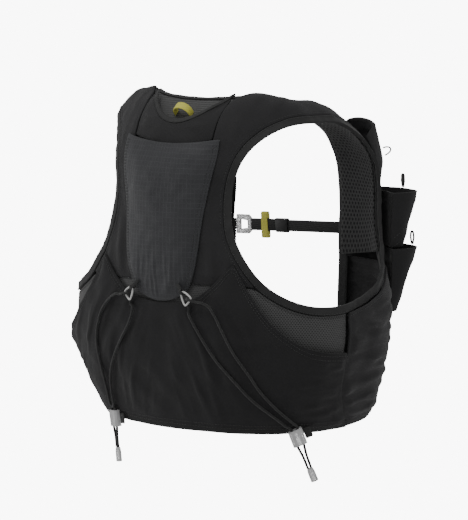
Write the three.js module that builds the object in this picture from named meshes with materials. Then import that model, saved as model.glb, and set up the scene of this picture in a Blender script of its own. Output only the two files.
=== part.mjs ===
// Running hydration vest, in millimetres.
// The wearer faces -Y, the wearer's left is +X and up is +Z.
// The origin lies midway between the shoulder straps, level with the top of their seat.
import * as THREE from 'three';

// Overall sizes of the vest as worn
const vestHeight = 358;
const halfWidth = 168;
const backDepth = 102;
const frontDepth = 131;
const sideLine = 38;
const backRound = 2.1;
const frontRound = 3.5;
const shoulderBlend = 50;
const crownDrop = 4;
const ridgeLine = 62;
const neckFall = 14;
const neckFallInside = 66;
const neckFallOutside = 112;
const hemDrop = 354;

// Walls and clearances
const panelWall = 2.6;
const gatherWall = 2.0;
const liningWall = 1.6;
const pocketWall = 1.8;
const pouchWall = 1.8;
const chestWall = 2.4;
const chestStand = 15;
const behindPouch = 1.5;
const chestTilt = 0.043;
const frontStand = 3.5;
const bindingWidth = 8.5;
const neckBindingWidth = 4.5;
const seamGap = 0.5;
const baseLift = -4;
const mouthStand = 9;
const flapStand = 1.5;
const mouthSag = 24;
const foldSag = 6;
const mouthGape = 5;
const meshWall = 1.6;
const hemTuck = 3;
const seamTurn = 0.35;
const footRound = 12;
const rimSlope = 1.5;
const pouchLift = 9;
const chestDrop = 56;
const shelfDrop = 46;
const loopSteps = 50;
const neckSteps = 28;
const layerGap = 0.5;

// Main places, as heights below the origin
const waistSeam = 190;
const mouthDrop = 11;
const frontHemRise = 23;
const chestStrapDrop = 167;

// Back pocket, reservoir pocket and flask pockets
const tuck = 7;
const reservoirSwell = 6;
const lowerSwell = 2.5;
const foldDrop = 51;
const pouchCentre = 106;
const pouchHalf = 35;
const pouchTurnOut = 32;
const pouchDepth = 44;
const upperRim = 118;
const upperPouchHeight = 58;
const lowerRim = 177;
const lowerPouchHeight = 68;
const upperTaper = 0.42;
const lowerTaper = 0.62;

// Hardware
const cordDiameter = 2.7;
const boreGap = 0.45;
const cordSeat = 0.7;
const ringBar = 2.5;
const ringLift = 7.2;
const ringTabWidth = 3.6;
const ringTabReach = 9.5;
const ringTabWall = 1.3;
const tabSeat = 4.1;
const lockWidth = 15;
const lockHeight = 17;
const lockThick = 7;
const lockStand = 6.2;
const strandGap = 3.4;
const tailGap = 1.65;
const cordEndLength = 15;
const cordEndWidth = 8.5;
const cordEndThick = 5.5;
const hemTabWidth = 8;
const hemTabHeight = 11;
const hangLoopWidth = 8;
const hangLoopSpan = 18;
const hangLoopReach = 12;
const hangLoopDrop = 27;
const webbingWidth = 12.5;
const webbingWall = 1.6;
const tabWall = 1.2;
const chestLoopSide = 122;
const chestLoopDrop = 80;
const chestLoopRadius = 4.2;
const chestLoopBar = 1.8;
const trimShift = 0.45;
const pullTabWidth = 8;
const pullTabHeight = 15;
const flaskLoopWidth = 9;
const flaskLoopHeight = 15;
const flaskLoopBar = 2.2;

// Sections of the trunk under the vest. drop is a share of vestHeight, the widths of halfWidth,
// back of backDepth and front of frontDepth.
const sections = [
  { drop: 0.0110, backWide: 0.30, frontWide: 0.30, back: 0.10, front: 0.06 },
  { drop: 0.0150, backWide: 0.50, frontWide: 0.50, back: 0.22, front: 0.22 },
  { drop: 0.0250, backWide: 0.575, frontWide: 0.585, back: 0.31, front: 0.35 },
  { drop: 0.0460, backWide: 0.630, frontWide: 0.650, back: 0.44, front: 0.50 },
  { drop: 0.0810, backWide: 0.670, frontWide: 0.720, back: 0.61, front: 0.67 },
  { drop: 0.1100, backWide: 0.690, frontWide: 0.775, back: 0.73, front: 0.78 },
  { drop: 0.1500, backWide: 0.710, frontWide: 0.850, back: 0.83, front: 0.87 },
  { drop: 0.2200, backWide: 0.715, frontWide: 0.940, back: 0.94, front: 0.96 },
  { drop: 0.3240, backWide: 0.690, frontWide: 0.980, back: 0.985, front: 1.00 },
  { drop: 0.4500, backWide: 0.835, frontWide: 0.990, back: 1.00, front: 1.00 },
  { drop: 0.5200, backWide: 0.930, frontWide: 0.990, back: 1.00, front: 1.00 },
  { drop: 0.6150, backWide: 0.990, frontWide: 0.995, back: 0.99, front: 1.00 },
  { drop: 0.7430, backWide: 1.000, frontWide: 1.000, back: 0.97, front: 1.00 },
  { drop: 0.8660, backWide: 0.900, frontWide: 0.945, back: 0.89, front: 1.00 },
  { drop: 1.0000, backWide: 0.765, frontWide: 0.860, back: 0.77, front: 0.98 },
];

// Edge of the arm opening on the wearer's left: side of halfWidth, aft of backDepth behind the side
// line (of frontDepth before it, where negative), and drop of vestHeight.
const armOpening = [
  { side: 0.675, aft: 0.120, drop: 0.103 },
  { side: 0.650, aft: 0.300, drop: 0.104 },
  { side: 0.605, aft: 0.450, drop: 0.118 },
  { side: 0.545, aft: 0.580, drop: 0.148 },
  { side: 0.485, aft: 0.690, drop: 0.195 },
  { side: 0.450, aft: 0.770, drop: 0.270 },
  { side: 0.444, aft: 0.790, drop: 0.350 },
  { side: 0.465, aft: 0.800, drop: 0.410 },
  { side: 0.545, aft: 0.790, drop: 0.480 },
  { side: 0.655, aft: 0.730, drop: 0.545 },
  { side: 0.775, aft: 0.620, drop: 0.585 },
  { side: 0.890, aft: 0.450, drop: 0.609 },
  { side: 0.965, aft: 0.190, drop: 0.615 },
  { side: 0.985, aft: -0.040, drop: 0.610 },
  { side: 0.960, aft: -0.300, drop: 0.592 },
  { side: 0.905, aft: -0.520, drop: 0.558 },
  { side: 0.855, aft: -0.690, drop: 0.505 },
  { side: 0.828, aft: -0.780, drop: 0.440 },
  { side: 0.820, aft: -0.810, drop: 0.365 },
  { side: 0.815, aft: -0.780, drop: 0.290 },
  { side: 0.795, aft: -0.690, drop: 0.215 },
  { side: 0.755, aft: -0.540, drop: 0.160 },
  { side: 0.710, aft: -0.330, drop: 0.126 },
  { side: 0.685, aft: -0.100, drop: 0.110 },
];

// Neck edge on the wearer's left, from the middle of the back round to the chest
const neckOpening = [
  { side: 0.000, aft: 0.340, drop: 0.043 },
  { side: 0.150, aft: 0.320, drop: 0.037 },
  { side: 0.290, aft: 0.270, drop: 0.024 },
  { side: 0.370, aft: 0.150, drop: 0.017 },
  { side: 0.388, aft: -0.010, drop: 0.016 },
  { side: 0.388, aft: -0.200, drop: 0.025 },
  { side: 0.388, aft: -0.420, drop: 0.046 },
  { side: 0.396, aft: -0.640, drop: 0.088 },
  { side: 0.408, aft: -0.820, drop: 0.150 },
  { side: 0.418, aft: -0.930, drop: 0.230 },
  { side: 0.420, aft: -0.970, drop: 0.320 },
  { side: 0.424, aft: -0.980, drop: 0.420 },
  { side: 0.424, aft: -0.985, drop: 0.530 },
  { side: 0.412, aft: -0.985, drop: 0.680 },
  { side: 0.395, aft: -0.980, drop: 0.810 },
  { side: 0.375, aft: -0.970, drop: 0.925 },
];

// Top edge of the lower back pocket, by turn from the middle of the back in degrees
const pocketMouth = [
  { turn: 0, drop: 0.612 },
  { turn: 14, drop: 0.608 },
  { turn: 24, drop: 0.592 },
  { turn: 35, drop: 0.540 },
  { turn: 43, drop: 0.492 },
  { turn: 47, drop: 0.540 },
  { turn: 51.5, drop: 0.592 },
  { turn: 57.5, drop: 0.650 },
  { turn: 64, drop: 0.693 },
  { turn: 71, drop: 0.728 },
  { turn: 78, drop: 0.741 },
  { turn: 90, drop: 0.752 },
];

// Outline of the reservoir pocket below its fold: half width of halfWidth, drop of vestHeight
const reservoirShape = [
  { drop: 0.060, half: 0.335 },
  { drop: 0.145, half: 0.338 },
  { drop: 0.190, half: 0.345 },
  { drop: 0.250, half: 0.325 },
  { drop: 0.320, half: 0.298 },
  { drop: 0.390, half: 0.280 },
  { drop: 0.470, half: 0.262 },
  { drop: 0.530, half: 0.238 },
  { drop: 0.575, half: 0.195 },
];

// Turn of the side seams, which slant forward toward the hem
const sideSeam = [
  { drop: 0.560, turn: 90 },
  { drop: 0.740, turn: 89 },
  { drop: 0.870, turn: 91 },
  { drop: 1.000, turn: 104 },
];

// Level folds of the gathered front panels: drop of vestHeight, proud and half height in mm,
// slope is the extra drop from the side seam to the front edge
const frontFolds = [
  { drop: 0.640, proud: 3.6, half: 6.0, slope: -0.050 },
  { drop: 0.685, proud: 4.2, half: 6.5, slope: -0.035 },
  { drop: 0.735, proud: 3.2, half: 6.0, slope: -0.020 },
  { drop: 0.785, proud: 3.4, half: 7.0, slope: 0.000 },
  { drop: 0.850, proud: 3.0, half: 7.5, slope: 0.012 },
  { drop: 0.920, proud: 2.2, half: 7.5, slope: 0.020 },
];

// Long folds of the lower back pocket: turn in degrees at the top and at the hem
const pocketFolds = [
  { top: -34, hem: -50, proud: 2.2, half: 5 },
  { top: -16, hem: -36, proud: 2.6, half: 5 },
  { top: 17, hem: 30, proud: 2.6, half: 5 },
  { top: 36, hem: 62, proud: 2.4, half: 6 },
  { top: 48, hem: 76, proud: 2.0, half: 6 },
];

// Each elastic cord runs from its tail through the lock, up to the ring, through it and back.
// turn is in degrees from the middle of the back, drop a share of vestHeight, and proud is how far the
// middle of the cord stands off the lower pocket, in millimetres.
const cordPlans = {
  left: {
    upSide: -1,
    tabSide: -1,
    ring: { turn: 19.6, drop: 0.592 },
    lock: { turn: 50.4, drop: 0.988 },
    tail: { turn: 49.6, drop: 1.068 },
    up: [
      { turn: 50.9, drop: 0.945, proud: 3.0 },
      { turn: 49.4, drop: 0.905, proud: 2.4 },
      { turn: 47.8, drop: 0.860, proud: 2.4 },
      { turn: 46.4, drop: 0.812, proud: 2.4 },
      { turn: 45.2, drop: 0.755, proud: 2.4 },
      { turn: 43.3, drop: 0.704, proud: 2.4 },
      { turn: 39.6, drop: 0.652, proud: 2.6 },
      { turn: 33.0, drop: 0.612, proud: 4.0 },
      { turn: 28.0, drop: 0.598, proud: 6.5 },
    ],
    down: [
      { turn: 18.6, drop: 0.632, proud: 2.2 },
      { turn: 19.6, drop: 0.672, proud: 2.2 },
      { turn: 26.6, drop: 0.728, proud: 2.4 },
      { turn: 35.8, drop: 0.793, proud: 2.4 },
      { turn: 42.4, drop: 0.852, proud: 2.4 },
      { turn: 45.6, drop: 0.900, proud: 2.4 },
      { turn: 47.9, drop: 0.942, proud: 3.0 },
    ],
  },
  right: {
    upSide: -1,
    tabSide: 1,
    ring: { turn: 19.6, drop: 0.592 },
    lock: { turn: 74.6, drop: 0.996 },
    tail: { turn: 80.6, drop: 1.080 },
    up: [
      { turn: 69.4, drop: 0.958, proud: 3.0 },
      { turn: 62.0, drop: 0.921, proud: 2.4 },
      { turn: 52.6, drop: 0.874, proud: 2.4 },
      { turn: 44.7, drop: 0.820, proud: 2.4 },
      { turn: 37.6, drop: 0.774, proud: 2.4 },
      { turn: 31.4, drop: 0.730, proud: 2.4 },
      { turn: 24.8, drop: 0.676, proud: 2.2 },
      { turn: 20.4, drop: 0.634, proud: 2.2 },
    ],
    down: [
      { turn: 28.6, drop: 0.600, proud: 6.5 },
      { turn: 31.9, drop: 0.610, proud: 4.0 },
      { turn: 35.2, drop: 0.638, proud: 2.6 },
      { turn: 39.6, drop: 0.688, proud: 2.4 },
      { turn: 44.8, drop: 0.746, proud: 2.4 },
      { turn: 51.4, drop: 0.802, proud: 2.4 },
      { turn: 55.6, drop: 0.846, proud: 2.4 },
      { turn: 63.2, drop: 0.900, proud: 2.4 },
      { turn: 71.0, drop: 0.944, proud: 3.0 },
    ],
  },
};

// Plaits of the chest panels: drop of vestHeight, proud and half height in mm
const chestFolds = [
  { drop: 0.160, proud: 8.0, half: 6.0 },
  { drop: 0.205, proud: 5.0, half: 6.0 },
  { drop: 0.252, proud: 4.0, half: 6.5 },
  { drop: 0.310, proud: 3.2, half: 8.0 },
  { drop: 0.470, proud: 2.0, half: 9.0 },
];

// Middle line of the cord through a ring: across and up on the ring's plane, proud of its middle
const ringPass = [
  { across: 13.0, up: -2.4, proud: 1.4 },
  { across: 6.4, up: -0.7, proud: 3.5 },
  { across: 2.7, up: -0.2, proud: 2.6 },
  { across: 0.5, up: -0.3, proud: 0.0 },
  { across: 0.2, up: -3.2, proud: -2.5 },
  { across: 0.6, up: -6.6, proud: -3.2 },
  { across: 1.4, up: -12.0, proud: -3.4 },
];

// Corners of the triangle ring on its plane; the first two hold the sewn tab
const ringCorners = [
  { across: -3.3, up: 8.3 },
  { across: -7.3, up: 4.9 },
  { across: -1.8, up: -7.2 },
  { across: 0.2, up: -7.2 },
  { across: 6.0, up: 0.1 },
  { across: 5.4, up: 1.9 },
];

// Pieces of the chest strap from the wearer's right to left: places across, height and thickness in mm
const chestPieces = [
  { name: 'chest_webbing', from: -75, to: 14.4, tall: webbingWidth, thick: webbingWall, tint: 'webbing' },
  { name: 'chest_webbing_end', from: 14.9, to: 45.4, tall: 13, thick: 3.6, tint: 'webbing' },
  { name: 'buckle_anchor', from: 66, to: 75, tall: webbingWidth, thick: webbingWall, tint: 'webbing' },
];

const colour = {
  yoke: 0x1b1d20, ripstop: 0x2b3236, mesh: 0x34373a, lining: 0x2d3032, binding: 0x101112,
  cord: 0x26282a, metal: 0xbfc3c4, clear: 0xd9dcdd, yellow: 0xd8d22a, webbing: 0x2a2c2f,
};

// Reads one column of a table between its rows with a smooth curve.
function readTable(table, key, name, value) {
  const last = table.length - 1;
  if (value <= table[0][key]) return table[0][name];
  if (value >= table[last][key]) return table[last][name];
  let row = 0;
  while (table[row + 1][key] < value) row += 1;
  const slopeAt = (i) => {
    const low = Math.max(i - 1, 0);
    const high = Math.min(i + 1, last);
    return (table[high][name] - table[low][name]) / (table[high][key] - table[low][key]);
  };
  const span = table[row + 1][key] - table[row][key];
  const t = (value - table[row][key]) / span;
  const rise = table[row + 1][name] - table[row][name];
  const start = slopeAt(row) * span;
  const end = slopeAt(row + 1) * span;
  return table[row][name] + t * start + t * t * (3 * rise - 2 * start - end)
    + t * t * t * (start + end - 2 * rise);
}

// Below 1 inside the trunk, 1 on its surface. Its width goes over from the back to the front value
// across the shoulder, whose neck side falls away toward the chest.
function trunk(x, y, z) {
  const fall = neckFall * THREE.MathUtils.smoothstep(ridgeLine - y, 0, 0.8 * shoulderBlend)
    * THREE.MathUtils.smoothstep(neckFallOutside - Math.abs(x), 0, neckFallOutside - neckFallInside)
    * THREE.MathUtils.smoothstep(z, -0.36 * vestHeight, -0.08 * vestHeight);
  const drop = Math.max(-(z + fall) / vestHeight, 0);
  const aft = y >= sideLine;
  const ahead = THREE.MathUtils.smoothstep(sideLine + shoulderBlend - y, 0, 2 * shoulderBlend);
  const wide = halfWidth * THREE.MathUtils.lerp(
    readTable(sections, 'drop', 'backWide', drop),
    readTable(sections, 'drop', 'frontWide', drop),
    ahead,
  );
  const deep = aft ? backDepth * readTable(sections, 'drop', 'back', drop)
    : frontDepth * readTable(sections, 'drop', 'front', drop);
  const round = THREE.MathUtils.lerp(backRound, frontRound, ahead);
  const above = Math.max(z + fall + crownDrop, 0);
  return Math.pow(Math.abs(x) / wide, round) + Math.pow(Math.abs(y - sideLine) / deep, round) + above;
}

function slope(point) {
  const step = 0.05;
  return new THREE.Vector3(
    trunk(point.x + step, point.y, point.z) - trunk(point.x - step, point.y, point.z),
    trunk(point.x, point.y + step, point.z) - trunk(point.x, point.y - step, point.z),
    trunk(point.x, point.y, point.z + step) - trunk(point.x, point.y, point.z - step),
  ).divideScalar(2 * step);
}

// Moves a point onto the trunk. hold names an axis that keeps its value.
function settle(point, hold) {
  const place = point.clone();
  for (let turn = 0; turn < 14; turn += 1) {
    const rise = slope(place);
    if (hold) rise[hold] = 0;
    const move = (1 - trunk(place.x, place.y, place.z)) / Math.max(rise.lengthSq(), 1e-9);
    place.addScaledVector(rise, THREE.MathUtils.clamp(move, -8 / rise.length(), 8 / rise.length()));
  }
  return place;
}

const outward = (point) => slope(point).normalize();
const lifted = (point, lift) => point.clone().addScaledVector(outward(point), lift);

// Point on the trunk at a turn from the middle of the back, in degrees, and a height.
function around(turn, z) {
  const angle = THREE.MathUtils.degToRad(turn);
  const ray = new THREE.Vector3(Math.sin(angle), Math.cos(angle), 0);
  let near = 0;
  let far = 2 * halfWidth;
  for (let step = 0; step < 40; step += 1) {
    const middle = (near + far) / 2;
    if (trunk(ray.x * middle, sideLine + ray.y * middle, z) < 1) near = middle;
    else far = middle;
  }
  return new THREE.Vector3(ray.x * near, sideLine + ray.y * near, z);
}

const turnOf = (point) => THREE.MathUtils.radToDeg(Math.atan2(point.x, point.y - sideLine));

// Points on the back and on the front of the trunk at a given side and height.
function inDepth(x, z, way) {
  let near = 0;
  let far = 2 * frontDepth;
  for (let step = 0; step < 40; step += 1) {
    const middle = (near + far) / 2;
    if (trunk(x, sideLine + way * middle, z) < 1) near = middle;
    else far = middle;
  }
  return new THREE.Vector3(x, sideLine + way * near, z);
}
const atBack = (x, z) => inDepth(x, z, 1);
const atFront = (x, z) => inDepth(x, z, -1);

// Makes a closed body from corner points and faces, with its faces outwards.
function closedBody(points, faces) {
  let volume = 0;
  for (const [a, b, c] of faces) {
    volume += points[a].dot(new THREE.Vector3().crossVectors(points[b], points[c]));
  }
  const turned = volume < 0;
  const geometry = new THREE.BufferGeometry();
  geometry.setAttribute('position', new THREE.Float32BufferAttribute(
    points.flatMap((point) => [point.x, point.y, point.z]), 3));
  geometry.setIndex(faces.flatMap(([a, b, c]) => (turned ? [a, c, b] : [a, b, c])));
  geometry.computeVertexNormals();
  return geometry;
}

// A wall between two grids of points: grid[i][j] has the outer and inner point.
function wallBetween(grid) {
  const columns = grid.length;
  const rows = grid[0].length;
  const points = [];
  const faces = [];
  const at = (i, j, side) => 2 * (i * rows + j) + side;
  for (const line of grid) for (const pair of line) points.push(pair[0], pair[1]);
  const quad = (a, b, c, d) => faces.push([a, b, c], [a, c, d]);
  for (let i = 0; i + 1 < columns; i += 1) {
    for (let j = 0; j + 1 < rows; j += 1) {
      quad(at(i, j, 0), at(i + 1, j, 0), at(i + 1, j + 1, 0), at(i, j + 1, 0));
      quad(at(i, j + 1, 1), at(i + 1, j + 1, 1), at(i + 1, j, 1), at(i, j, 1));
    }
    quad(at(i, 0, 1), at(i + 1, 0, 1), at(i + 1, 0, 0), at(i, 0, 0));
    quad(at(i, rows - 1, 0), at(i + 1, rows - 1, 0), at(i + 1, rows - 1, 1), at(i, rows - 1, 1));
  }
  for (let j = 0; j + 1 < rows; j += 1) {
    quad(at(0, j, 0), at(0, j + 1, 0), at(0, j + 1, 1), at(0, j, 1));
    quad(at(columns - 1, j, 1), at(columns - 1, j + 1, 1), at(columns - 1, j + 1, 0),
      at(columns - 1, j, 0));
  }
  return closedBody(points, faces);
}

// A bar through a row of equal rings of points, open with end caps or closed on itself.
function barThrough(rings, closed) {
  const sides = rings[0].length;
  const points = rings.flat();
  const faces = [];
  const count = rings.length;
  const spans = closed ? count : count - 1;
  for (let i = 0; i < spans; i += 1) {
    for (let j = 0; j < sides; j += 1) {
      const a = i * sides + j;
      const b = i * sides + ((j + 1) % sides);
      const c = ((i + 1) % count) * sides + ((j + 1) % sides);
      const d = ((i + 1) % count) * sides + j;
      faces.push([a, b, c], [a, c, d]);
    }
  }
  if (!closed) {
    for (let j = 1; j + 1 < sides; j += 1) {
      faces.push([0, j + 1, j]);
      const end = (count - 1) * sides;
      faces.push([end, end + j, end + j + 1]);
    }
  }
  return closedBody(points, faces);
}

const vest = new THREE.Group();

function addPiece(name, geometry, tint, roughness = 0.85, metalness = 0) {
  const material = new THREE.MeshStandardMaterial({ color: tint, roughness, metalness });
  const mesh = new THREE.Mesh(geometry, material);
  mesh.name = name;
  vest.add(mesh);
  return mesh;
}

const mirrored = (point) => new THREE.Vector3(-point.x, point.y, point.z);
const sides = [{ name: 'left', mirror: false }, { name: 'right', mirror: true }];
const onSide = (points, side) => (side.mirror ? points.map(mirrored) : points);

// Evenly spaced points along a smooth curve through table rows, on the trunk.
function edgeFrom(table, count, closed) {
  const marks = table.map((row) => settle(new THREE.Vector3(
    row.side * halfWidth,
    sideLine + row.aft * (row.aft < 0 ? frontDepth : backDepth),
    -row.drop * vestHeight,
  )));
  const curve = new THREE.CatmullRomCurve3(marks, closed, 'centripetal');
  const points = curve.getSpacedPoints(closed ? count : count - 1);
  if (closed) points.pop();
  return points.map((point) => settle(point));
}

// Moves each point of an edge sideways on the trunk, to the right of its direction seen from outside.
function aside(points, distance, closed) {
  const last = points.length - 1;
  return points.map((point, i) => {
    const before = points[closed ? (i + last) % (last + 1) : Math.max(i - 1, 0)];
    const after = points[closed ? (i + 1) % (last + 1) : Math.min(i + 1, last)];
    const along = after.clone().sub(before).normalize();
    const across = new THREE.Vector3().crossVectors(along, outward(point)).normalize();
    return settle(point.clone().addScaledVector(across, distance));
  });
}

// A strip between two edges, as thick as its lifts say. across is the number of steps over it.
function strip(edgeA, edgeB, across, low, high, hold) {
  return edgeA.map((a, i) => {
    const line = [];
    for (let j = 0; j <= across; j += 1) {
      const share = j / across;
      const base = settle(a.clone().lerp(edgeB[i], share), hold);
      const bottom = typeof low === 'function' ? low(i / (edgeA.length - 1), share, base) : low;
      const top = typeof high === 'function' ? high(i / (edgeA.length - 1), share, base) : high;
      line.push([lifted(base, top), lifted(base, bottom)]);
    }
    return line;
  });
}

const bump = (distance, half) => Math.exp(-((distance / half) ** 2));

// Arm openings. The loop starts on top of the shoulder and goes down the back first.
const armEdge = edgeFrom(armOpening, loopSteps, true);
const armSeam = aside(armEdge, -(bindingWidth + seamGap), true);
const armOuter = aside(armEdge, -bindingWidth, true);
const neckEdge = edgeFrom(neckOpening, neckSteps, false);
const neckSeam = aside(neckEdge, -(neckBindingWidth + seamGap), false);
const neckOuter = aside(neckEdge, -neckBindingWidth, false);

// Numbers of the loop points where the shoulder panel ends at the waist, at the back and in front,
// and where the side seam meets the loop
const backFoot = armSeam.findIndex((point, i) => i > 8 && point.z < -waistSeam);
const seamFoot = armSeam.map((point, i) => [Math.abs(turnOf(point) - 90), i])
  .filter(([, i]) => i > backFoot && armSeam[i].z < -waistSeam).sort((a, b) => a[0] - b[0])[0][1];
const frontFoot = armSeam.findIndex((point, i) => i > seamFoot + 3 && point.z > -waistSeam);
const sideTurn = turnOf(armSeam[seamFoot]);
const waistZ = armSeam[backFoot].z;
const seamAt = (z) => sideTurn + readTable(sideSeam, 'drop', 'turn', -z / vestHeight) - sideSeam[0].turn;
// Turn at a height of a line that leaves the top edge at a given turn and leans with the side seam
function leaning(turn, z) {
  const share = THREE.MathUtils.smoothstep(Math.abs(turn), 0.45 * sideTurn, sideTurn);
  return turn + Math.sign(turn) * share * (seamAt(z) - sideTurn);
}

const reservoirHalf = (z) => halfWidth * readTable(reservoirShape, 'drop', 'half', -z / vestHeight);
const panelEdge = (z) => reservoirHalf(z) - tuck;

// Inner edge of the shoulder panel: up beside the reservoir pocket, round the mouth's corner, then
// along the neck binding down the chest.
const cornerStep = neckSeam.findIndex((point) => point.y < sideLine + 0.12 * backDepth);
const corner = neckSeam[cornerStep];
const innerMarks = [];
for (const share of [1, 0.8, 0.6, 0.4, 0.2, 0.04]) {
  const z = -mouthDrop + share * (waistZ + mouthDrop);
  innerMarks.push(atBack(panelEdge(z), z));
}
const chestMarks = neckSeam.slice(cornerStep).filter((point) => point.z > -waistSeam);
const innerCurve = new THREE.CatmullRomCurve3([...innerMarks, ...chestMarks], false, 'centripetal');
const panelSteps = [];
for (let i = backFoot; i >= 0; i -= 1) panelSteps.push(i);
for (let i = loopSteps - 1; i >= frontFoot; i -= 1) panelSteps.push(i);
const outerEdge = panelSteps.map((i) => armSeam[i].clone());
const innerEdge = innerCurve.getSpacedPoints(outerEdge.length - 1).map((point) => settle(point));
const ridgeStep = outerEdge.findIndex((point) => point.y < sideLine);
const chestStep = outerEdge.findIndex((point, i) => i > ridgeStep && point.z < -chestDrop);

// Drops of the mouth of the reservoir pocket and of the fold below it; share is -1 to 1 across them.
const mouthAt = (share) => mouthDrop + mouthSag * (1 - Math.abs(share) ** 2.2);
const foldAt = (share) => foldDrop + foldSag * (1 - share * share);

// The outer cloth stands off the back below the mouth of the reservoir pocket.
function standOff(point) {
  if (point.y < sideLine) return 0;
  const height = (-point.z - crownDrop) / (foldDrop - crownDrop);
  const inside = THREE.MathUtils.smoothstep(0.60 * halfWidth - Math.abs(point.x), 0, 0.28 * halfWidth);
  return mouthStand * bump(height - 0.42, 0.5) * inside;
}

// Turns a grid over to the wearer's right.
const onGrid = (grid, side) => grid.map((line) => line.map((pair) => onSide(pair, side)));

function shoulderPanel(side) {
  const grid = strip(innerEdge, outerEdge, 4,
    (along, share, point) => baseLift + standOff(point),
    (along, share, point) => baseLift + panelWall + standOff(point));
  addPiece(`shoulder_panel_${side.name}`, wallBetween(onGrid(grid, side)), colour.yoke);
}

// Honeycomb lining under the strap from the top of the shoulder down the chest
function strapLining(side) {
  const grid = strip(innerEdge.slice(ridgeStep), outerEdge.slice(ridgeStep), 4,
    baseLift - 2.5 * layerGap - liningWall, baseLift - 2.5 * layerGap);
  addPiece(`strap_lining_${side.name}`, wallBetween(onGrid(grid, side)), colour.lining);
}

// Back panel between the shoulder panels, up to the neck edge
function backPanel() {
  const grid = [];
  const neckBack = neckSeam.slice(0, cornerStep + 1);
  const neckCurve = new THREE.CatmullRomCurve3(neckBack, false, 'centripetal');
  const steps = 10;
  for (let i = 0; i <= steps; i += 1) {
    const share = (2 * i) / steps - 1;
    const line = [];
    const top = neckCurve.getPointAt(Math.abs(share) * 0.97);
    top.x *= Math.sign(share) || 1;
    for (let j = 0; j <= 8; j += 1) {
      const z = THREE.MathUtils.lerp(waistZ, -shelfDrop, j / 8);
      line.push(atBack(share * (panelEdge(z) - 3.4 * seamGap), z));
    }
    const shelf = line[line.length - 1];
    for (const part of [0.35, 0.7, 1]) {
      const point = part < 1 ? settle(shelf.clone().lerp(top, part).setZ(
        shelf.z + (top.z - shelf.z) * Math.sin((part * Math.PI) / 2)), 'x') : settle(top, 'x');
      line.push(point);
    }
    grid.push(line.map((point) => [lifted(point, baseLift + panelWall - 0.6), lifted(point, baseLift)]));
  }
  addPiece('back_panel', wallBetween(grid), colour.mesh);
}


function medialTurn(z) {
  const below = neckSeam.filter((point) => point.y < 0);
  let step = below.findIndex((point) => point.z < z);
  if (step < 1) step = below.length - 1;
  const share = (z - below[step - 1].z) / (below[step].z - below[step - 1].z);
  return turnOf(below[step - 1].clone().lerp(below[step], share)) - seamTurn;
}

// Mesh wall behind the lower pocket, whose sides show as sheer inserts under the arm openings
function waistMesh() {
  const tops = [];
  for (let i = seamFoot; i >= backFoot; i -= 1) {
    tops.push({ turn: turnOf(armSeam[i]), z: Math.min(armSeam[i].z, waistZ - seamGap) });
  }
  tops[0].turn -= seamTurn;
  const footTurn = tops[tops.length - 1].turn;
  const middles = [0.75, 0.5, 0.25, 0].map((share) => ({ turn: share * footTurn, z: waistZ - seamGap }));
  const half = [...tops, ...middles];
  const all = [...half, ...half.slice(0, -1).reverse().map((top) => ({ turn: -top.turn, z: top.z }))];
  const grid = all.map((top) => {
    const line = [];
    for (let j = 0; j <= 4; j += 1) {
      const z = THREE.MathUtils.lerp(top.z, -hemDrop + hemTuck, j / 4);
      const point = around(leaning(top.turn, z), z);
      line.push([lifted(point, baseLift + meshWall), lifted(point, baseLift)]);
    }
    return line;
  });
  addPiece('waist_mesh', wallBetween(grid), colour.mesh);
}

// Inner face of the lower back pocket over the trunk. down is 0 at its top edge and 1 at the hem.
function pocketLift(turn, down) {
  let lift = baseLift + panelWall + layerGap;
  lift += lowerSwell * Math.sin(Math.PI * Math.min(down, 1) ** 0.8);
  for (const fold of pocketFolds) {
    const line = THREE.MathUtils.lerp(fold.top, fold.hem, down);
    lift += fold.proud * bump(turn - line, fold.half) * Math.sin(Math.PI * THREE.MathUtils.clamp(down, 0, 1));
  }
  const mouth = THREE.MathUtils.smoothstep(Math.abs(turn), 46, 56)
    * (1 - THREE.MathUtils.smoothstep(Math.abs(turn), 78, 90));
  return lift + mouthGape * mouth * bump(down, 0.16);
}

const mouthTop = (turn) => -vestHeight * readTable(pocketMouth, 'turn', 'drop', Math.abs(turn));

function pocketShare(turn, z) {
  return THREE.MathUtils.clamp((mouthTop(turn) - z) / (mouthTop(turn) + hemDrop), 0, 1);
}

function lowerPocket() {
  const grid = [];
  const turns = [0, 9, 17, 24, 29.5, 35, 39.5, 43, 47, 51.5, 57.5, 64, 71, 80];
  const half = [...turns.slice(1).reverse().map((turn) => -turn), ...turns];
  const all = [-sideTurn + seamTurn, ...half, sideTurn - seamTurn];
  for (const turn of all) {
    const line = [];
    for (let j = 0; j <= 8; j += 1) {
      const down = j / 8;
      const z = THREE.MathUtils.lerp(mouthTop(turn), -hemDrop, down);
      const point = around(leaning(turn, z), z);
      const lift = pocketLift(turn, down);
      line.push([lifted(point, lift + pocketWall), lifted(point, lift)]);
    }
    grid.push(line);
  }
  addPiece('lower_pocket', wallBetween(grid), colour.yoke);
}

// Reservoir pocket from its fold to its rounded foot
function reservoirPocket() {
  const grid = [];
  const across = 10;
  const foot = reservoirShape[reservoirShape.length - 1].drop * vestHeight;
  for (let i = 0; i <= across; i += 1) {
    const share = (2 * i) / across - 1;
    const line = [];
    for (let j = 0; j <= 10; j += 1) {
      const down = j / 10;
      const low = foot + footRound * (1 - share * share);
      const z = -THREE.MathUtils.lerp(foldAt(share) + seamGap, low, down);
      const point = atBack(share * reservoirHalf(z), z);
      const swell = reservoirSwell * (1 - share ** 4) * Math.sin(Math.PI * (0.12 + 0.86 * down)) ** 0.8;
      const lift = baseLift + panelWall + layerGap + swell + standOff(point);
      line.push([lifted(point, lift + pocketWall), lifted(point, lift)]);
    }
    grid.push(line);
  }
  addPiece('reservoir_pocket', wallBetween(grid), colour.ripstop, 0.7);
}

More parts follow.
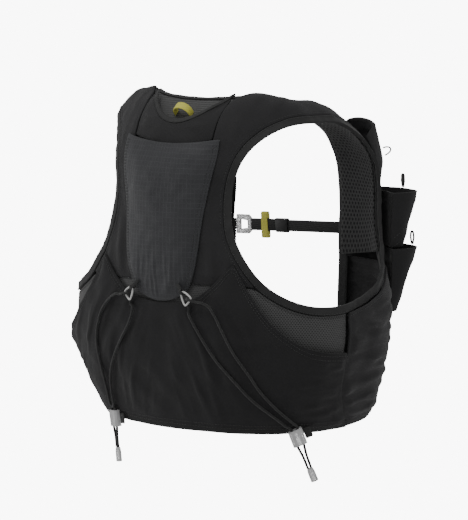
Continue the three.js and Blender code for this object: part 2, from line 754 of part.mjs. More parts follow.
// Upper flap between the fold and the mouth
function reservoirFlap() {
  const grid = [];
  const across = 10;
  for (let i = 0; i <= across; i += 1) {
    const share = (2 * i) / across - 1;
    const line = [];
    for (let j = 0; j <= 4; j += 1) {
      const z = -THREE.MathUtils.lerp(mouthAt(share) + neckBindingWidth, foldAt(share), j / 4);
      const point = atBack(share * (panelEdge(z) - 3.2 * seamGap), z);
      const lift = baseLift + standOff(point) + flapStand * (1 - share ** 4);
      line.push([lifted(point, lift + pocketWall), lifted(point, lift)]);
    }
    grid.push(line);
  }
  addPiece('reservoir_flap', wallBetween(grid), colour.yoke);
}

// Binding along the mouth of the reservoir pocket
function mouthBinding() {
  const rings = [];
  const steps = 16;
  for (let i = 0; i <= steps; i += 1) {
    const share = (2 * i) / steps - 1;
    const corners = [0, neckBindingWidth - seamGap].map((height) => {
      const z = -(mouthAt(share) + height);
      return atBack(share * (panelEdge(z) - 3.2 * seamGap), z);
    });
    const lift = baseLift + standOff(corners[1]) + flapStand * (1 - share ** 4);
    rings.push([lifted(corners[0], lift - 0.4), lifted(corners[0], lift + 2.4),
      lifted(corners[1], lift + 2.4), lifted(corners[1], lift - 0.4)]);
  }
  addPiece('mouth_binding', barThrough(rings, false), colour.binding);
}

// Gathered front panel from the side seam to the neck binding
function frontPanel(side) {
  const tops = [];
  for (let i = seamFoot; i <= frontFoot - 1; i += 1) {
    tops.push({ turn: turnOf(armSeam[i]), z: Math.min(armSeam[i].z, -waistSeam - seamGap) });
  }
  tops[0].turn += seamTurn;
  const lastTurn = tops[tops.length - 1].turn;
  const endTurn = medialTurn(-waistSeam);
  for (const share of [0.34, 0.67, 1]) {
    tops.push({ turn: THREE.MathUtils.lerp(lastTurn, endTurn, share), z: -waistSeam - seamGap });
  }
  const grid = tops.map((top) => {
    const ahead = (top.turn - tops[0].turn) / (endTurn - tops[0].turn);
    const line = [];
    for (let j = 0; j <= 17; j += 1) {
      const hem = -hemDrop + frontHemRise * Math.max(ahead, 0) ** 1.3;
      const z = THREE.MathUtils.lerp(top.z, hem, j / 17);
      const turn = THREE.MathUtils.lerp(seamAt(z) + seamTurn, medialTurn(z), ahead);
      const point = around(turn, z);
      const lift = baseLift + frontLift(z, ahead);
      line.push([lifted(point, lift + gatherWall), lifted(point, lift)]);
    }
    return line;
  });
  addPiece(`front_panel_${side.name}`, wallBetween(onGrid(grid, side)), colour.yoke);
}

function frontLift(z, ahead) {
  let lift = frontStand;
  for (const fold of frontFolds) {
    const line = -(fold.drop + fold.slope * ahead) * vestHeight;
    lift += fold.proud * bump(z - line, fold.half);
  }
  return lift * Math.sin(Math.PI * THREE.MathUtils.clamp(0.06 + 0.9 * ahead, 0, 1)) ** 0.5;
}

// Plaited panel over the strap on the chest
function chestPanel(side) {
  const shrink = (share) => 0.06 + 0.88 * share;
  const inner = innerEdge.slice(chestStep).map((point, i) => point.clone()
    .lerp(outerEdge[chestStep + i], shrink(0)));
  const outer = innerEdge.slice(chestStep).map((point, i) => point.clone()
    .lerp(outerEdge[chestStep + i], shrink(1)));
  const low = baseLift + panelWall + 0.55;
  const stand = (z) => THREE.MathUtils.lerp(behindPouch, chestStand,
    THREE.MathUtils.smoothstep(z, -upperRim + 2, -upperRim + 14));
  const plait = (point, share) => stand(point.z) * Math.sin(Math.PI * share) ** 0.35
    + chestFolds.reduce((sum, fold) => sum + fold.proud
      * bump(point.z + fold.drop * vestHeight, fold.half), 0) * (0.35 + 0.65 * Math.sin(Math.PI * share));
  const grid = strip(inner, outer, 5, (along, share, point) => low + plait(point, share),
    (along, share, point) => low + chestWall + plait(point, share));
  addPiece(`chest_panel_${side.name}`, wallBetween(onGrid(grid, side)), colour.yoke);
}

// Flask pocket: a pouch with a flat back on the chest and a bulging front, open at the top
const pouchSides = 16;
function pouchRing(rim, height, taper, lift, down, wall) {
  const half = pouchHalf * (1 - 0.10 * down) - wall;
  const deep = pouchDepth * (1 - taper * down ** 0.9) - wall;
  const lean = THREE.MathUtils.degToRad(pouchTurnOut);
  const away = new THREE.Vector3(Math.sin(lean), -Math.cos(lean), 0);
  const ring = [];
  for (let k = 0; k < pouchSides; k += 1) {
    const angle = Math.PI / 2 + (2 * Math.PI * k) / pouchSides;
    const side = Math.sign(Math.cos(angle)) * Math.abs(Math.cos(angle)) ** 0.75;
    const off = Math.sin(angle) > 0 ? (deep - wall) * Math.sin(angle) ** 0.75 : 0;
    const z = -(rim + height * down) - rimSlope * (off / pouchDepth) * (1 - down);
    const base = atFront(pouchCentre + half * side, z);
    ring.push(lifted(base, lift + wall).addScaledVector(away, off));
  }
  return ring;
}

function flaskPocket(side, name, rim, height, taper, lift) {
  const rings = [];
  const levels = [1, 0.75, 0.5, 0.25, 0];
  for (const down of levels) rings.push(pouchRing(rim, height, taper, lift, down, 0));
  for (const down of [...levels].reverse()) {
    const inside = Math.min(down, 1 - (1.5 * pouchWall) / height);
    rings.push(pouchRing(rim, height, taper, lift, inside, pouchWall));
  }
  const turned = rings.map((ring) => onSide(ring, side));
  addPiece(`${name}_${side.name}`, barThrough(turned, false), colour.yoke);
}

function bindings() {
  for (const side of sides) {
    const rings = armEdge.map((point, i) => onSide([
      lifted(point, baseLift + panelWall + 0.4), lifted(armOuter[i], baseLift + panelWall + 0.4),
      lifted(armOuter[i], baseLift - 0.4), lifted(point, baseLift - 0.4)], side));
    addPiece(`armhole_binding_${side.name}`, barThrough(rings, true), colour.binding);
  }
  const half = neckEdge.map((point, i) => [
    lifted(point, baseLift + panelWall + 0.4), lifted(neckOuter[i], baseLift + panelWall + 0.4),
    lifted(neckOuter[i], baseLift - 0.4), lifted(point, baseLift - 0.4)]);
  const rings = [...half.slice(1).reverse().map((ring) => ring.map(mirrored)), ...half];
  addPiece('neck_binding', barThrough(rings, false), colour.binding);
}

// Places on the lower pocket: the column of the pocket that reaches a turn at a height, and a point
// proud of its outer face there.
function columnOf(turn, z) {
  let column = turn;
  for (let step = 0; step < 8; step += 1) column += turn - leaning(column, z);
  return column;
}
function onPocket(turn, z, proud) {
  const column = columnOf(turn, z);
  const lift = pocketLift(column, pocketShare(column, z)) + pocketWall + proud;
  return lifted(around(turn, z), lift);
}

// Plane with its middle on or over the vest: across points to growing turn, up along the surface.
function planeAt(middle, base) {
  const out = outward(base);
  const up = new THREE.Vector3(0, 0, 1).addScaledVector(out, -out.z).normalize();
  return { middle, out, up, across: new THREE.Vector3().crossVectors(out, up) };
}
const onPlane = (plane, across, up, proud) => plane.middle.clone().addScaledVector(plane.across, across)
  .addScaledVector(plane.up, up).addScaledVector(plane.out, proud);

// Puts an extruded outline on three directions, its first point of origin at middle.
function placed(geometry, middle, right, up, out, side) {
  const basis = new THREE.Matrix4().makeBasis(right, up, out).setPosition(middle);
  if (side.mirror) basis.premultiply(new THREE.Matrix4().makeScale(-1, 1, 1));
  geometry.applyMatrix4(basis);
  if (basis.determinant() > 0) return geometry;
  const place = geometry.getAttribute('position');
  for (let i = 0; i < place.count; i += 3) {
    const kept = [place.getX(i), place.getY(i), place.getZ(i)];
    place.setXYZ(i, place.getX(i + 1), place.getY(i + 1), place.getZ(i + 1));
    place.setXYZ(i + 1, ...kept);
  }
  return geometry;
}

const outline = (points) => new THREE.Shape(points.map(([x, y]) => new THREE.Vector2(x, y)));
const solidOf = (shape, depth) => new THREE.ExtrudeGeometry(shape, { depth, bevelEnabled: false, curveSegments: 1 });

function circlePoints(x, y, radius, count) {
  const points = [];
  for (let k = 0; k < count; k += 1) {
    const angle = (2 * Math.PI * (k + 0.5)) / count;
    points.push(new THREE.Vector2(x + radius * Math.cos(angle), y + radius * Math.sin(angle)));
  }
  return points;
}
const circlePath = (x, y, radius, count) => new THREE.Path(circlePoints(x, y, radius, count));

function roundedBox(width, height, cut) {
  const x = width / 2;
  const y = height / 2;
  return outline([[x - cut, -y], [x, cut - y], [x, y - cut], [x - cut, y], [cut - x, y], [-x, y - cut],
    [-x, cut - y], [cut - x, -y]]);
}

// A closed or open bar of round section along corner points that lie about one plane.
function roundBar(corners, out, diameter, count, closed) {
  const last = corners.length - 1;
  const rings = corners.map((corner, i) => {
    const before = corners[closed ? (i + last) % (last + 1) : Math.max(i - 1, 0)];
    const after = corners[closed ? (i + 1) % (last + 1) : Math.min(i + 1, last)];
    const along = after.clone().sub(corner).normalize().add(corner.clone().sub(before).normalize())
      .normalize();
    const flat = new THREE.Vector3().crossVectors(along, out).normalize();
    const toward = after.equals(corner) ? before : after;
    const leg = toward.clone().sub(corner).normalize();
    const stretch = 1 / Math.max(Math.sqrt(1 - leg.dot(flat) ** 2), 0.5);
    const ring = [];
    for (let k = 0; k < count; k += 1) {
      const angle = (2 * Math.PI * (k + 0.5)) / count;
      ring.push(corner.clone().addScaledVector(flat, (stretch * diameter * Math.cos(angle)) / 2)
        .addScaledVector(out, (diameter * Math.sin(angle)) / 2));
    }
    return ring;
  });
  return barThrough(rings, closed);
}

function ringPlane(plan) {
  const base = around(plan.ring.turn, -plan.ring.drop * vestHeight);
  return planeAt(lifted(base, ringLift), base);
}

// Triangle ring and the sewn tab that holds it
function triangleRing(side, plan) {
  const plane = ringPlane(plan);
  const corners = ringCorners.map((corner) => onPlane(plane, corner.across, corner.up, 0));
  const geometry = roundBar(onSide(corners, side), side.mirror ? onSide([plane.out], side)[0] : plane.out,
    ringBar, 6, true);
  addPiece(`triangle_ring_${side.name}`, geometry, colour.metal, 0.4, 0.6);
  const [a, b] = corners;
  const hold = a.clone().lerp(b, 0.5);
  const along = a.clone().sub(b).normalize();
  const away = new THREE.Vector3().crossVectors(plane.out, along).normalize();
  const low = -ringLift + tabSeat;
  const radius = ringBar / 2 + boreGap + ringTabWall;
  const shape = outline([[radius * 0.5, radius * 0.87], [-radius * 0.5, radius * 0.87], [-radius, 0],
    [-radius * 0.5, -radius * 0.87], [radius * 0.7, -radius * 0.87], [ringTabReach, low],
    [ringTabReach, low + ringTabWall], [radius * 1.1, -0.2 * radius]]);
  shape.holes.push(circlePath(0, 0, ringBar / 2 + boreGap + 0.15, 8));
  const middle = hold.clone().addScaledVector(along, -ringTabWidth / 2);
  const body = solidOf(shape, ringTabWidth);
  const right = away.dot(hold.clone().sub(plane.middle)) < 0 ? away.negate() : away;
  addPiece(`ring_tab_${side.name}`, placed(body, middle, right, plane.out, along, side), colour.binding);
}
// Elastic cord, whole from one tail through the lock and the ring to the other tail
function lockPlane(plan) {
  const z = -plan.lock.drop * vestHeight;
  const middle = onPocket(plan.lock.turn, Math.max(z, -hemDrop + 2), lockStand).setZ(z);
  const base = around(plan.lock.turn, z);
  const plane = planeAt(middle, base);
  const tailZ = -plan.tail.drop * vestHeight;
  const tail = around(plan.tail.turn, tailZ);
  tail.addScaledVector(plane.out, middle.clone().sub(base).dot(plane.out));
  plane.up = middle.clone().sub(tail).normalize();
  plane.across = new THREE.Vector3().crossVectors(plane.out, plane.up).normalize();
  plane.out = new THREE.Vector3().crossVectors(plane.up, plane.across).normalize();
  plane.tailLength = middle.distanceTo(tail);
  return plane;
}

function cordLine(plan) {
  const ring = ringPlane(plan);
  const lock = lockPlane(plan);
  const pass = ringPass.map((mark) => onPlane(ring, mark.across, mark.up, mark.proud));
  const firstUp = plan.up[plan.up.length - 1];
  const fromSide = firstUp.turn > plan.down[0].turn;
  if (!fromSide) pass.reverse();
  const spot = (mark) => onPocket(mark.turn, -mark.drop * vestHeight, mark.proud + cordSeat);
  const strand = (way, rows) => [
    onPlane(lock, way * tailGap, -lock.tailLength, 0),
    onPlane(lock, way * (tailGap + 0.3), -0.62 * lock.tailLength, 0),
    onPlane(lock, way * strandGap, -lockHeight / 2 - 0.5, 0),
    onPlane(lock, way * strandGap, 0, 0),
    onPlane(lock, way * strandGap, lockHeight / 2 - 2, 0),
    onPlane(lock, way * strandGap, lockHeight / 2 + 2.5, 0),
    ...rows,
  ];
  const up = strand(plan.upSide, plan.up.map(spot));
  const down = strand(-plan.upSide, [...plan.down].reverse().map(spot));
  return [...up, ...pass, ...down.reverse()];
}

function elasticCord(side, plan) {
  const points = onSide(cordLine(plan), side);
  const curve = new THREE.CatmullRomCurve3(points, false, 'centripetal');
  curve.getUtoTmapping = (share) => share;
  const section = new THREE.Shape(circlePoints(0, 0, cordDiameter / 2, 8));
  const geometry = new THREE.ExtrudeGeometry(section, {
    steps: 2 * (points.length - 1), extrudePath: curve, bevelEnabled: false, curveSegments: 1,
  });
  addPiece(`elastic_cord_${side.name}`, geometry, colour.cord);
}

// Cord lock with its two bores, the bell end on the tails and the tab at the hem
function cordLock(side, plan) {
  const plane = lockPlane(plan);
  const shape = roundedBox(lockWidth, lockThick, 1.8);
  for (const way of [-1, 1]) shape.holes.push(circlePath(way * strandGap, 0, cordDiameter / 2 + boreGap, 8));
  const start = onPlane(plane, 0, lockHeight / 2, 0);
  addPiece(`cord_lock_${side.name}`, placed(solidOf(shape, lockHeight), start, plane.across, plane.out,
    plane.up.clone().negate(), side), colour.clear, 0.5);

  const levels = [
    { down: 0, wide: 0.78, thick: 0.85 }, { down: 0.3, wide: 0.95, thick: 1 }, { down: 1, wide: 1, thick: 1 },
  ];
  const rings = levels.map((level) => {
    const ring = [];
    for (let k = 0; k < 8; k += 1) {
      const angle = (2 * Math.PI * (k + 0.5)) / 8;
      ring.push(onPlane(plane, 0.5 * cordEndWidth * level.wide * Math.cos(angle),
        -plane.tailLength - 0.4 - level.down * cordEndLength, 0.5 * cordEndThick * level.thick * Math.sin(angle)));
    }
    return onSide(ring, side);
  });
  addPiece(`cord_end_${side.name}`, barThrough(rings, false), colour.clear, 0.5);

  const reach = plan.tabSide * (lockWidth / 2 + 0.5 + hemTabWidth / 2);
  const tab = solidOf(roundedBox(hemTabWidth, hemTabHeight, 1), tabWall);
  addPiece(`hem_tab_${side.name}`, placed(tab, onPlane(plane, reach, 0, -lockStand / 2), plane.across, plane.up,
    plane.out, side), colour.binding);
}

// Yellow loop inside the mouth, at the back of the neck
function hangLoop() {
  const foot = (x) => lifted(atBack(x, -hangLoopDrop), baseLift + panelWall);
  const rings = [];
  for (let i = 0; i <= 8; i += 1) {
    const angle = (Math.PI * i) / 8;
    const x = -0.5 * hangLoopSpan * Math.cos(angle);
    const base = foot(x);
    const out = outward(base);
    const reach = -0.25 + hangLoopReach * Math.sin(angle) ** 0.7;
    const wall = new THREE.Vector3(-Math.cos(angle), 0, 0).addScaledVector(out, Math.sin(angle)).normalize();
    const up = new THREE.Vector3(0, 0, 1).addScaledVector(out, -out.z).normalize();
    const middle = base.clone().addScaledVector(out, reach);
    rings.push([[-0.5, 0], [0.5, 0], [0.5, 1], [-0.5, 1]].map(([a, b]) => middle.clone()
      .addScaledVector(up, a * hangLoopWidth).addScaledVector(wall, b * tabWall)));
  }
  addPiece('hang_loop', barThrough(rings, false), colour.yellow);
}

// Chest strap, in front of the neck bindings
function chestStrap() {
  const z = -chestStrapDrop;
  const edge = atFront(chestPieces[2].to, z);
  const front = lifted(edge, baseLift + panelWall + 0.4).y - 0.85;
  const plain = { mirror: false };
  const right = new THREE.Vector3(1, 0, -chestTilt).normalize();
  const out = new THREE.Vector3(0, -1, 0);
  const up = new THREE.Vector3().crossVectors(out, right);
  const onLine = (x, y) => new THREE.Vector3(0, y, z - 60 * right.z).addScaledVector(right, x);
  const slab = (name, shape, x, y, thick, tint, roughness) => addPiece(name, placed(solidOf(shape, thick),
    onLine(x, y), right, up, new THREE.Vector3().crossVectors(right, up), plain), tint, roughness);
  for (const piece of chestPieces) {
    const shape = roundedBox(piece.to - piece.from, piece.tall, 0.4);
    slab(piece.name, shape, 0.5 * (piece.from + piece.to), front, piece.thick, colour[piece.tint]);
  }
  const frameOf = (wide, tall, holeWide, holeTall) => {
    const shape = roundedBox(wide, tall, 1.6);
    shape.holes.push(new THREE.Path([[1, 1], [-1, 1], [-1, -1], [1, -1]]
      .map(([a, b]) => new THREE.Vector2((a * holeWide) / 2, (b * holeTall) / 2))));
    return shape;
  };
  // The slider is a short sleeve round the webbing
  const sleeve = (name, from, to, tall, thick, inTall, inThick, middleY, tint, roughness) => addPiece(name, placed(
    solidOf(frameOf(thick, tall, inThick, inTall), to - from), onLine(from, middleY),
    new THREE.Vector3(0, 1, 0), up, right, plain), tint, roughness);
  const slack = 0.9;
  sleeve('strap_slider', -2, 13.6, 15.6, 5.4, webbingWidth + slack, webbingWall + slack, front - webbingWall / 2,
    colour.binding, 0.5);
  sleeve('buckle_tab', 24, 32, 29, 6.4, 13 + slack, 3.6 + slack, front - 1.8, colour.yellow, 0.7);
  const buckle = outline([[-9.6, -6.6], [-6, -10.4], [9.6, -10.4], [9.6, -6.4], [9.6, 6.4], [9.6, 10.4],
    [-6, 10.4], [-9.6, 6.6]]);
  buckle.holes.push(new THREE.Path([[-5, -4], [4.6, -5.4], [4.6, 5.4], [-5, 4]]
    .map(([a, b]) => new THREE.Vector2(a, b))));
  slab('hook_buckle', buckle, 55.7, front - 0.2, 3.4, colour.clear, 0.5);
}

// Small loop on the chest, pull tab on the upper pouch and loop on the lower pouch
function chestTrim(side) {
  const base = atFront(chestLoopSide, -chestLoopDrop);
  const plane = planeAt(lifted(base, baseLift + panelWall + layerGap + chestStand + chestWall - 1), base);
  const arc = [];
  for (let i = 0; i <= 7; i += 1) {
    const angle = (Math.PI * i) / 7;
    arc.push(onPlane(plane, 0, chestLoopRadius * Math.cos(angle), 1.9 * chestLoopRadius * Math.sin(angle)));
  }
  const flip = (vector) => onSide([vector], side)[0];
  addPiece(`chest_loop_${side.name}`, roundBar(onSide(arc, side), flip(plane.across), chestLoopBar, 6, false),
    colour.cord);

  const rim = (depth, height, taper, next) => {
    const ring = pouchRing(depth, height, taper, pouchLift, 0, pouchWall / 2);
    return ring[0].lerp(ring[next], trimShift);
  };
  const lean = THREE.MathUtils.degToRad(pouchTurnOut);
  const away = new THREE.Vector3(Math.sin(lean), -Math.cos(lean), 0);
  const up = new THREE.Vector3(0, 0, 1);
  const along = new THREE.Vector3().crossVectors(up, away);
  const pull = outline([[-0.22, 0], [0.22, 0], [0.5, 0.45], [0.42, 0.88], [0.15, 1], [-0.15, 1], [-0.42, 0.88],
    [-0.5, 0.45]].map(([a, b]) => [a * pullTabWidth, b * pullTabHeight]));
  const seat = rim(upperRim, upperPouchHeight, upperTaper, 1).addScaledVector(up, 0.5)
    .addScaledVector(away, -pouchWall / 2);
  addPiece(`pull_tab_${side.name}`, placed(solidOf(pull, 1.8), seat, along, up, away, side), colour.binding);

  const low = rim(lowerRim, lowerPouchHeight, lowerTaper, pouchSides - 1).addScaledVector(up, 0.5 + flaskLoopBar / 2);
  const ring = [[-0.2, 0], [0.2, 0], [0.5, 0.5], [0.42, 0.85], [0.16, 1], [-0.16, 1], [-0.42, 0.85], [-0.5, 0.5]]
    .map(([a, b]) => low.clone().addScaledVector(along, a * (flaskLoopWidth - flaskLoopBar))
      .addScaledVector(up, b * (flaskLoopHeight - flaskLoopBar)));
  addPiece(`flask_loop_${side.name}`, roundBar(onSide(ring, side), flip(away), flaskLoopBar, 5, true),
    colour.cord);
}

for (const side of sides) {
  shoulderPanel(side);
  strapLining(side);
  frontPanel(side);
  chestPanel(side);
  flaskPocket(side, 'upper_flask_pocket', upperRim, upperPouchHeight, upperTaper, pouchLift);
  flaskPocket(side, 'lower_flask_pocket', lowerRim, lowerPouchHeight, lowerTaper, pouchLift);
}
backPanel();
waistMesh();
lowerPocket();
reservoirPocket();
reservoirFlap();
mouthBinding();
bindings();
for (const side of sides) {
  const plan = cordPlans[side.name];
  triangleRing(side, plan);
  elasticCord(side, plan);
  cordLock(side, plan);
  chestTrim(side);
}
hangLoop();
chestStrap();

export default vest;
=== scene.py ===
# Running hydration vest: its cloth, seams, cords and fittings over the CAD part, in metres.
# The wearer faces -Y, the wearer's left is +X and up is +Z.
import math

import bmesh
import bpy
import numpy as np
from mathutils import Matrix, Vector
from mathutils.bvhtree import BVHTree
from mathutils.kdtree import KDTree


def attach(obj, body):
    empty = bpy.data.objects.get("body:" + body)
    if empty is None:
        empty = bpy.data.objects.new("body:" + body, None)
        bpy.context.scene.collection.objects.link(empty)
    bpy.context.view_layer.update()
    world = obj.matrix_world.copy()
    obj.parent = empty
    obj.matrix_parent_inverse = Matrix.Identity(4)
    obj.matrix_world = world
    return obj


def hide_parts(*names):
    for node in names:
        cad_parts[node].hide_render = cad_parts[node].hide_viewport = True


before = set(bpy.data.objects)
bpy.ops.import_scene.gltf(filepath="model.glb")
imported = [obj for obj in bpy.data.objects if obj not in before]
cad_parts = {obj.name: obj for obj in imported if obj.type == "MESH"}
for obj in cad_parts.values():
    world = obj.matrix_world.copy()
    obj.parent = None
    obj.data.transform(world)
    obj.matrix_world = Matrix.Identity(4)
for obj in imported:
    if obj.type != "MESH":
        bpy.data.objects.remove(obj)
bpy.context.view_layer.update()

# Sizes of the vest that the cloth follows, in metres
VEST_HEIGHT = 0.358
HALF_WIDTH = 0.168
BACK_DEPTH = 0.102
FRONT_DEPTH = 0.131
SIDE_LINE = 0.038           # where the back meets the front
BACK_ROUND = 2.1            # power of the level outline behind, where 2 is an ellipse
FRONT_ROUND = 3.5
SHOULDER_BLEND = 0.050
CROWN_DROP = 0.004
CROWN_STEEPNESS = 1000
RIDGE_LINE = 0.062          # where the shoulders start to fall toward the neck
RIDGE_BLEND = 0.8 * SHOULDER_BLEND
NECK_FALL = 0.014
NECK_FALL_INSIDE = 0.066
NECK_FALL_OUTSIDE = 0.112
NECK_FALL_SPAN = (0.36, 0.08)  # drops between which it grows, as shares of the height
BINDING_WIDTH = 0.0085
NECK_BINDING_WIDTH = 0.0045
HEM_DROP = 0.354
CORD_DIAMETER = 0.0027

# How the cloth is rounded, laid flat and sewn
LINE_STEPS = 10             # points between two marks of a smooth line
MERGE_GAP = 2e-5            # nearer points of a CAD node are joined
SHARP_ANGLE = 42            # degrees between two faces from which their edge is a rim
RIM_CREASE = 0.85
RIM_SPAN = (0.0015, 0.012)  # distances from a rim between which the folds grow
BEVEL_ANGLE = 28
BODY_ROUND = 0.125          # radius that makes a turn round the body a length of cloth
SHOULDER_ROUND = 0.118      # the same over the shoulder
SHOULDER_MIDDLE = -0.110    # height that the turn over the shoulder goes round
WAVES, WAVE_PEAK = 14, 1.6
FAN_TOP, FAN_HEIGHT = 0.19, 0.165  # of the long folds of the lower pocket, from ring to hem
FAN_START, FAN_TURN = 20, 34       # their turn at the top, and how far it grows, in degrees
FAN_WIDTH = 0.0022                 # metres of cloth to a degree of it
DRAPE_REACH, DRAPE_DEPTH = 0.028, 0.012
THREAD_LIFT = 0.00012
STITCH_STEP, STITCH_LENGTH, THREAD_RADIUS = 0.0032, 0.0022, 0.00028
STITCH_UNEVEN, STITCH_SEED = 0.06, 7
LONGEST_JUMP = 0.012        # between two points of a row of stitches before it is cut
TAPE_ROWS, TAPE_DEPTH, TAPE_WALL = 5, 0.0047, 0.0005
SIDE_TAPE_DEPTH = 0.0053    # the side seam's tape runs inside that of the arm opening
CORD_SIDES = 14
CORD_GAP = 0.0001           # between a cord and the cloth under it
CALM_REACH = 9              # points over which the free part of a cord is evened out
LIFT_REACH = 6              # points over which its lift is spread
LOCK_HEIGHT = -0.345        # below it a cord is in its lock and keeps its place

# Trunk under the vest: drop as a share of the height, then the widths behind and in front as
# shares of the half width, and the depths behind and in front as shares of their own.
SECTIONS = np.array([
    (0.0110, 0.30, 0.30, 0.10, 0.06),
    (0.0150, 0.50, 0.50, 0.22, 0.22),
    (0.0250, 0.575, 0.585, 0.31, 0.35),
    (0.0460, 0.630, 0.650, 0.44, 0.50),
    (0.0810, 0.670, 0.720, 0.61, 0.67),
    (0.1100, 0.690, 0.775, 0.73, 0.78),
    (0.1500, 0.710, 0.850, 0.83, 0.87),
    (0.2200, 0.715, 0.940, 0.94, 0.96),
    (0.3240, 0.690, 0.980, 0.985, 1.00),
    (0.4500, 0.835, 0.990, 1.00, 1.00),
    (0.5200, 0.930, 0.990, 1.00, 1.00),
    (0.6150, 0.990, 0.995, 0.99, 1.00),
    (0.7430, 1.000, 1.000, 0.97, 1.00),
    (0.8660, 0.900, 0.945, 0.89, 1.00),
    (1.0000, 0.765, 0.860, 0.77, 0.98),
])

# Edge of the arm opening: side, aft and drop as shares of the half width, depth and height
ARM_OPENING = np.array([
    (0.675, 0.120, 0.103), (0.650, 0.300, 0.104), (0.605, 0.450, 0.118), (0.545, 0.580, 0.148),
    (0.485, 0.690, 0.195), (0.450, 0.770, 0.270), (0.444, 0.790, 0.350), (0.465, 0.800, 0.410),
    (0.545, 0.790, 0.480), (0.655, 0.730, 0.545), (0.775, 0.620, 0.585), (0.890, 0.450, 0.609),
    (0.965, 0.190, 0.615), (0.985, -0.040, 0.610), (0.960, -0.300, 0.592), (0.905, -0.520, 0.558),
    (0.855, -0.690, 0.505), (0.828, -0.780, 0.440), (0.820, -0.810, 0.365), (0.815, -0.780, 0.290),
    (0.795, -0.690, 0.215), (0.755, -0.540, 0.160), (0.710, -0.330, 0.126), (0.685, -0.100, 0.110),
])

# Neck edge from the middle of the back down to the hem in front, in the same shares
NECK_OPENING = np.array([
    (0.000, 0.340, 0.043), (0.150, 0.320, 0.037), (0.290, 0.270, 0.024), (0.370, 0.150, 0.017),
    (0.388, -0.010, 0.016), (0.388, -0.200, 0.025), (0.388, -0.420, 0.046), (0.396, -0.640, 0.088),
    (0.408, -0.820, 0.150), (0.418, -0.930, 0.230), (0.420, -0.970, 0.320), (0.424, -0.980, 0.420),
    (0.424, -0.985, 0.530), (0.412, -0.985, 0.680), (0.395, -0.980, 0.810), (0.375, -0.970, 0.925),
])

# Top edge of the lower back pocket: turn from the middle of the back in degrees, and drop
POCKET_MOUTH = np.array([
    (0, 0.612), (14, 0.608), (24, 0.592), (35, 0.540), (43, 0.492), (47, 0.540), (51.5, 0.592),
    (57.5, 0.650), (64, 0.693), (71, 0.728), (78, 0.741), (90, 0.752),
])

# Side seam: drop as a share of the height, and turn from the middle of the back in degrees
SIDE_SEAM = np.array([(0.560, 90.0), (0.740, 89.0), (0.870, 91.0), (1.000, 104.0)])

# Outline of the reservoir pocket: drop, and half width as a share of the vest's
RESERVOIR_SHAPE = np.array([
    (0.160, 0.340), (0.190, 0.345), (0.250, 0.325), (0.320, 0.298), (0.390, 0.280),
    (0.470, 0.262), (0.530, 0.238), (0.575, 0.195),
])

# Middle lines of the elastic cords in metres, from one tail through the lock, the ring and back
CORD_POINTS = {
    "left": [
        (0.0773, 0.1096, -0.3843), (0.0782, 0.1101, -0.3726), (0.0779, 0.1110, -0.3624),
        (0.0788, 0.1112, -0.3534), (0.0795, 0.1114, -0.3470), (0.0799, 0.1115, -0.3425),
        (0.0859, 0.1108, -0.3399), (0.0867, 0.1154, -0.3256), (0.0873, 0.1209, -0.3095),
        (0.0881, 0.1262, -0.2924), (0.0889, 0.1313, -0.2715), (0.0858, 0.1342, -0.2524),
        (0.0775, 0.1367, -0.2335), (0.0632, 0.1401, -0.2193), (0.0531, 0.1437, -0.2143),
        (0.0493, 0.1443, -0.2146), (0.0430, 0.1472, -0.2129), (0.0392, 0.1468, -0.2124),
        (0.0367, 0.1444, -0.2124), (0.0361, 0.1419, -0.2153), (0.0364, 0.1411, -0.2187),
        (0.0372, 0.1406, -0.2240), (0.0339, 0.1425, -0.2264), (0.0359, 0.1436, -0.2407),
        (0.0492, 0.1412, -0.2613), (0.0659, 0.1334, -0.2851), (0.0762, 0.1249, -0.3064),
        (0.0792, 0.1186, -0.3236), (0.0802, 0.1135, -0.3388), (0.0861, 0.1086, -0.3430),
        (0.0856, 0.1085, -0.3475), (0.0850, 0.1083, -0.3540), (0.0841, 0.1081, -0.3629),
        (0.0817, 0.1084, -0.3729), (0.0803, 0.1083, -0.3846),
    ],
    "right": [
        (-0.1335, 0.0654, -0.3900), (-0.1308, 0.0701, -0.3776), (-0.1273, 0.0754, -0.3661),
        (-0.1256, 0.0785, -0.3578), (-0.1243, 0.0806, -0.3518), (-0.1235, 0.0822, -0.3477),
        (-0.1210, 0.0861, -0.3450), (-0.1120, 0.1007, -0.3318), (-0.0972, 0.1165, -0.3149),
        (-0.0835, 0.1262, -0.2951), (-0.0705, 0.1337, -0.2782), (-0.0588, 0.1387, -0.2619),
        (-0.0459, 0.1417, -0.2422), (-0.0374, 0.1421, -0.2271), (-0.0372, 0.1406, -0.2240),
        (-0.0364, 0.1411, -0.2187), (-0.0361, 0.1419, -0.2153), (-0.0367, 0.1444, -0.2124),
        (-0.0392, 0.1468, -0.2124), (-0.0430, 0.1472, -0.2129), (-0.0493, 0.1443, -0.2146),
        (-0.0543, 0.1436, -0.2150), (-0.0608, 0.1404, -0.2185), (-0.0676, 0.1382, -0.2285),
        (-0.0772, 0.1361, -0.2465), (-0.0883, 0.1320, -0.2681), (-0.1010, 0.1237, -0.2892),
        (-0.1067, 0.1154, -0.3050), (-0.1173, 0.1005, -0.3244), (-0.1263, 0.0843, -0.3401),
        (-0.1284, 0.0781, -0.3452), (-0.1292, 0.0766, -0.3493), (-0.1305, 0.0744, -0.3553),
        (-0.1322, 0.0714, -0.3636), (-0.1336, 0.0678, -0.3762), (-0.1359, 0.0634, -0.3888),
    ],
}


# ---------------------------------------------------------------------------------------------
# Camera, at the angle of the photograph
# ---------------------------------------------------------------------------------------------

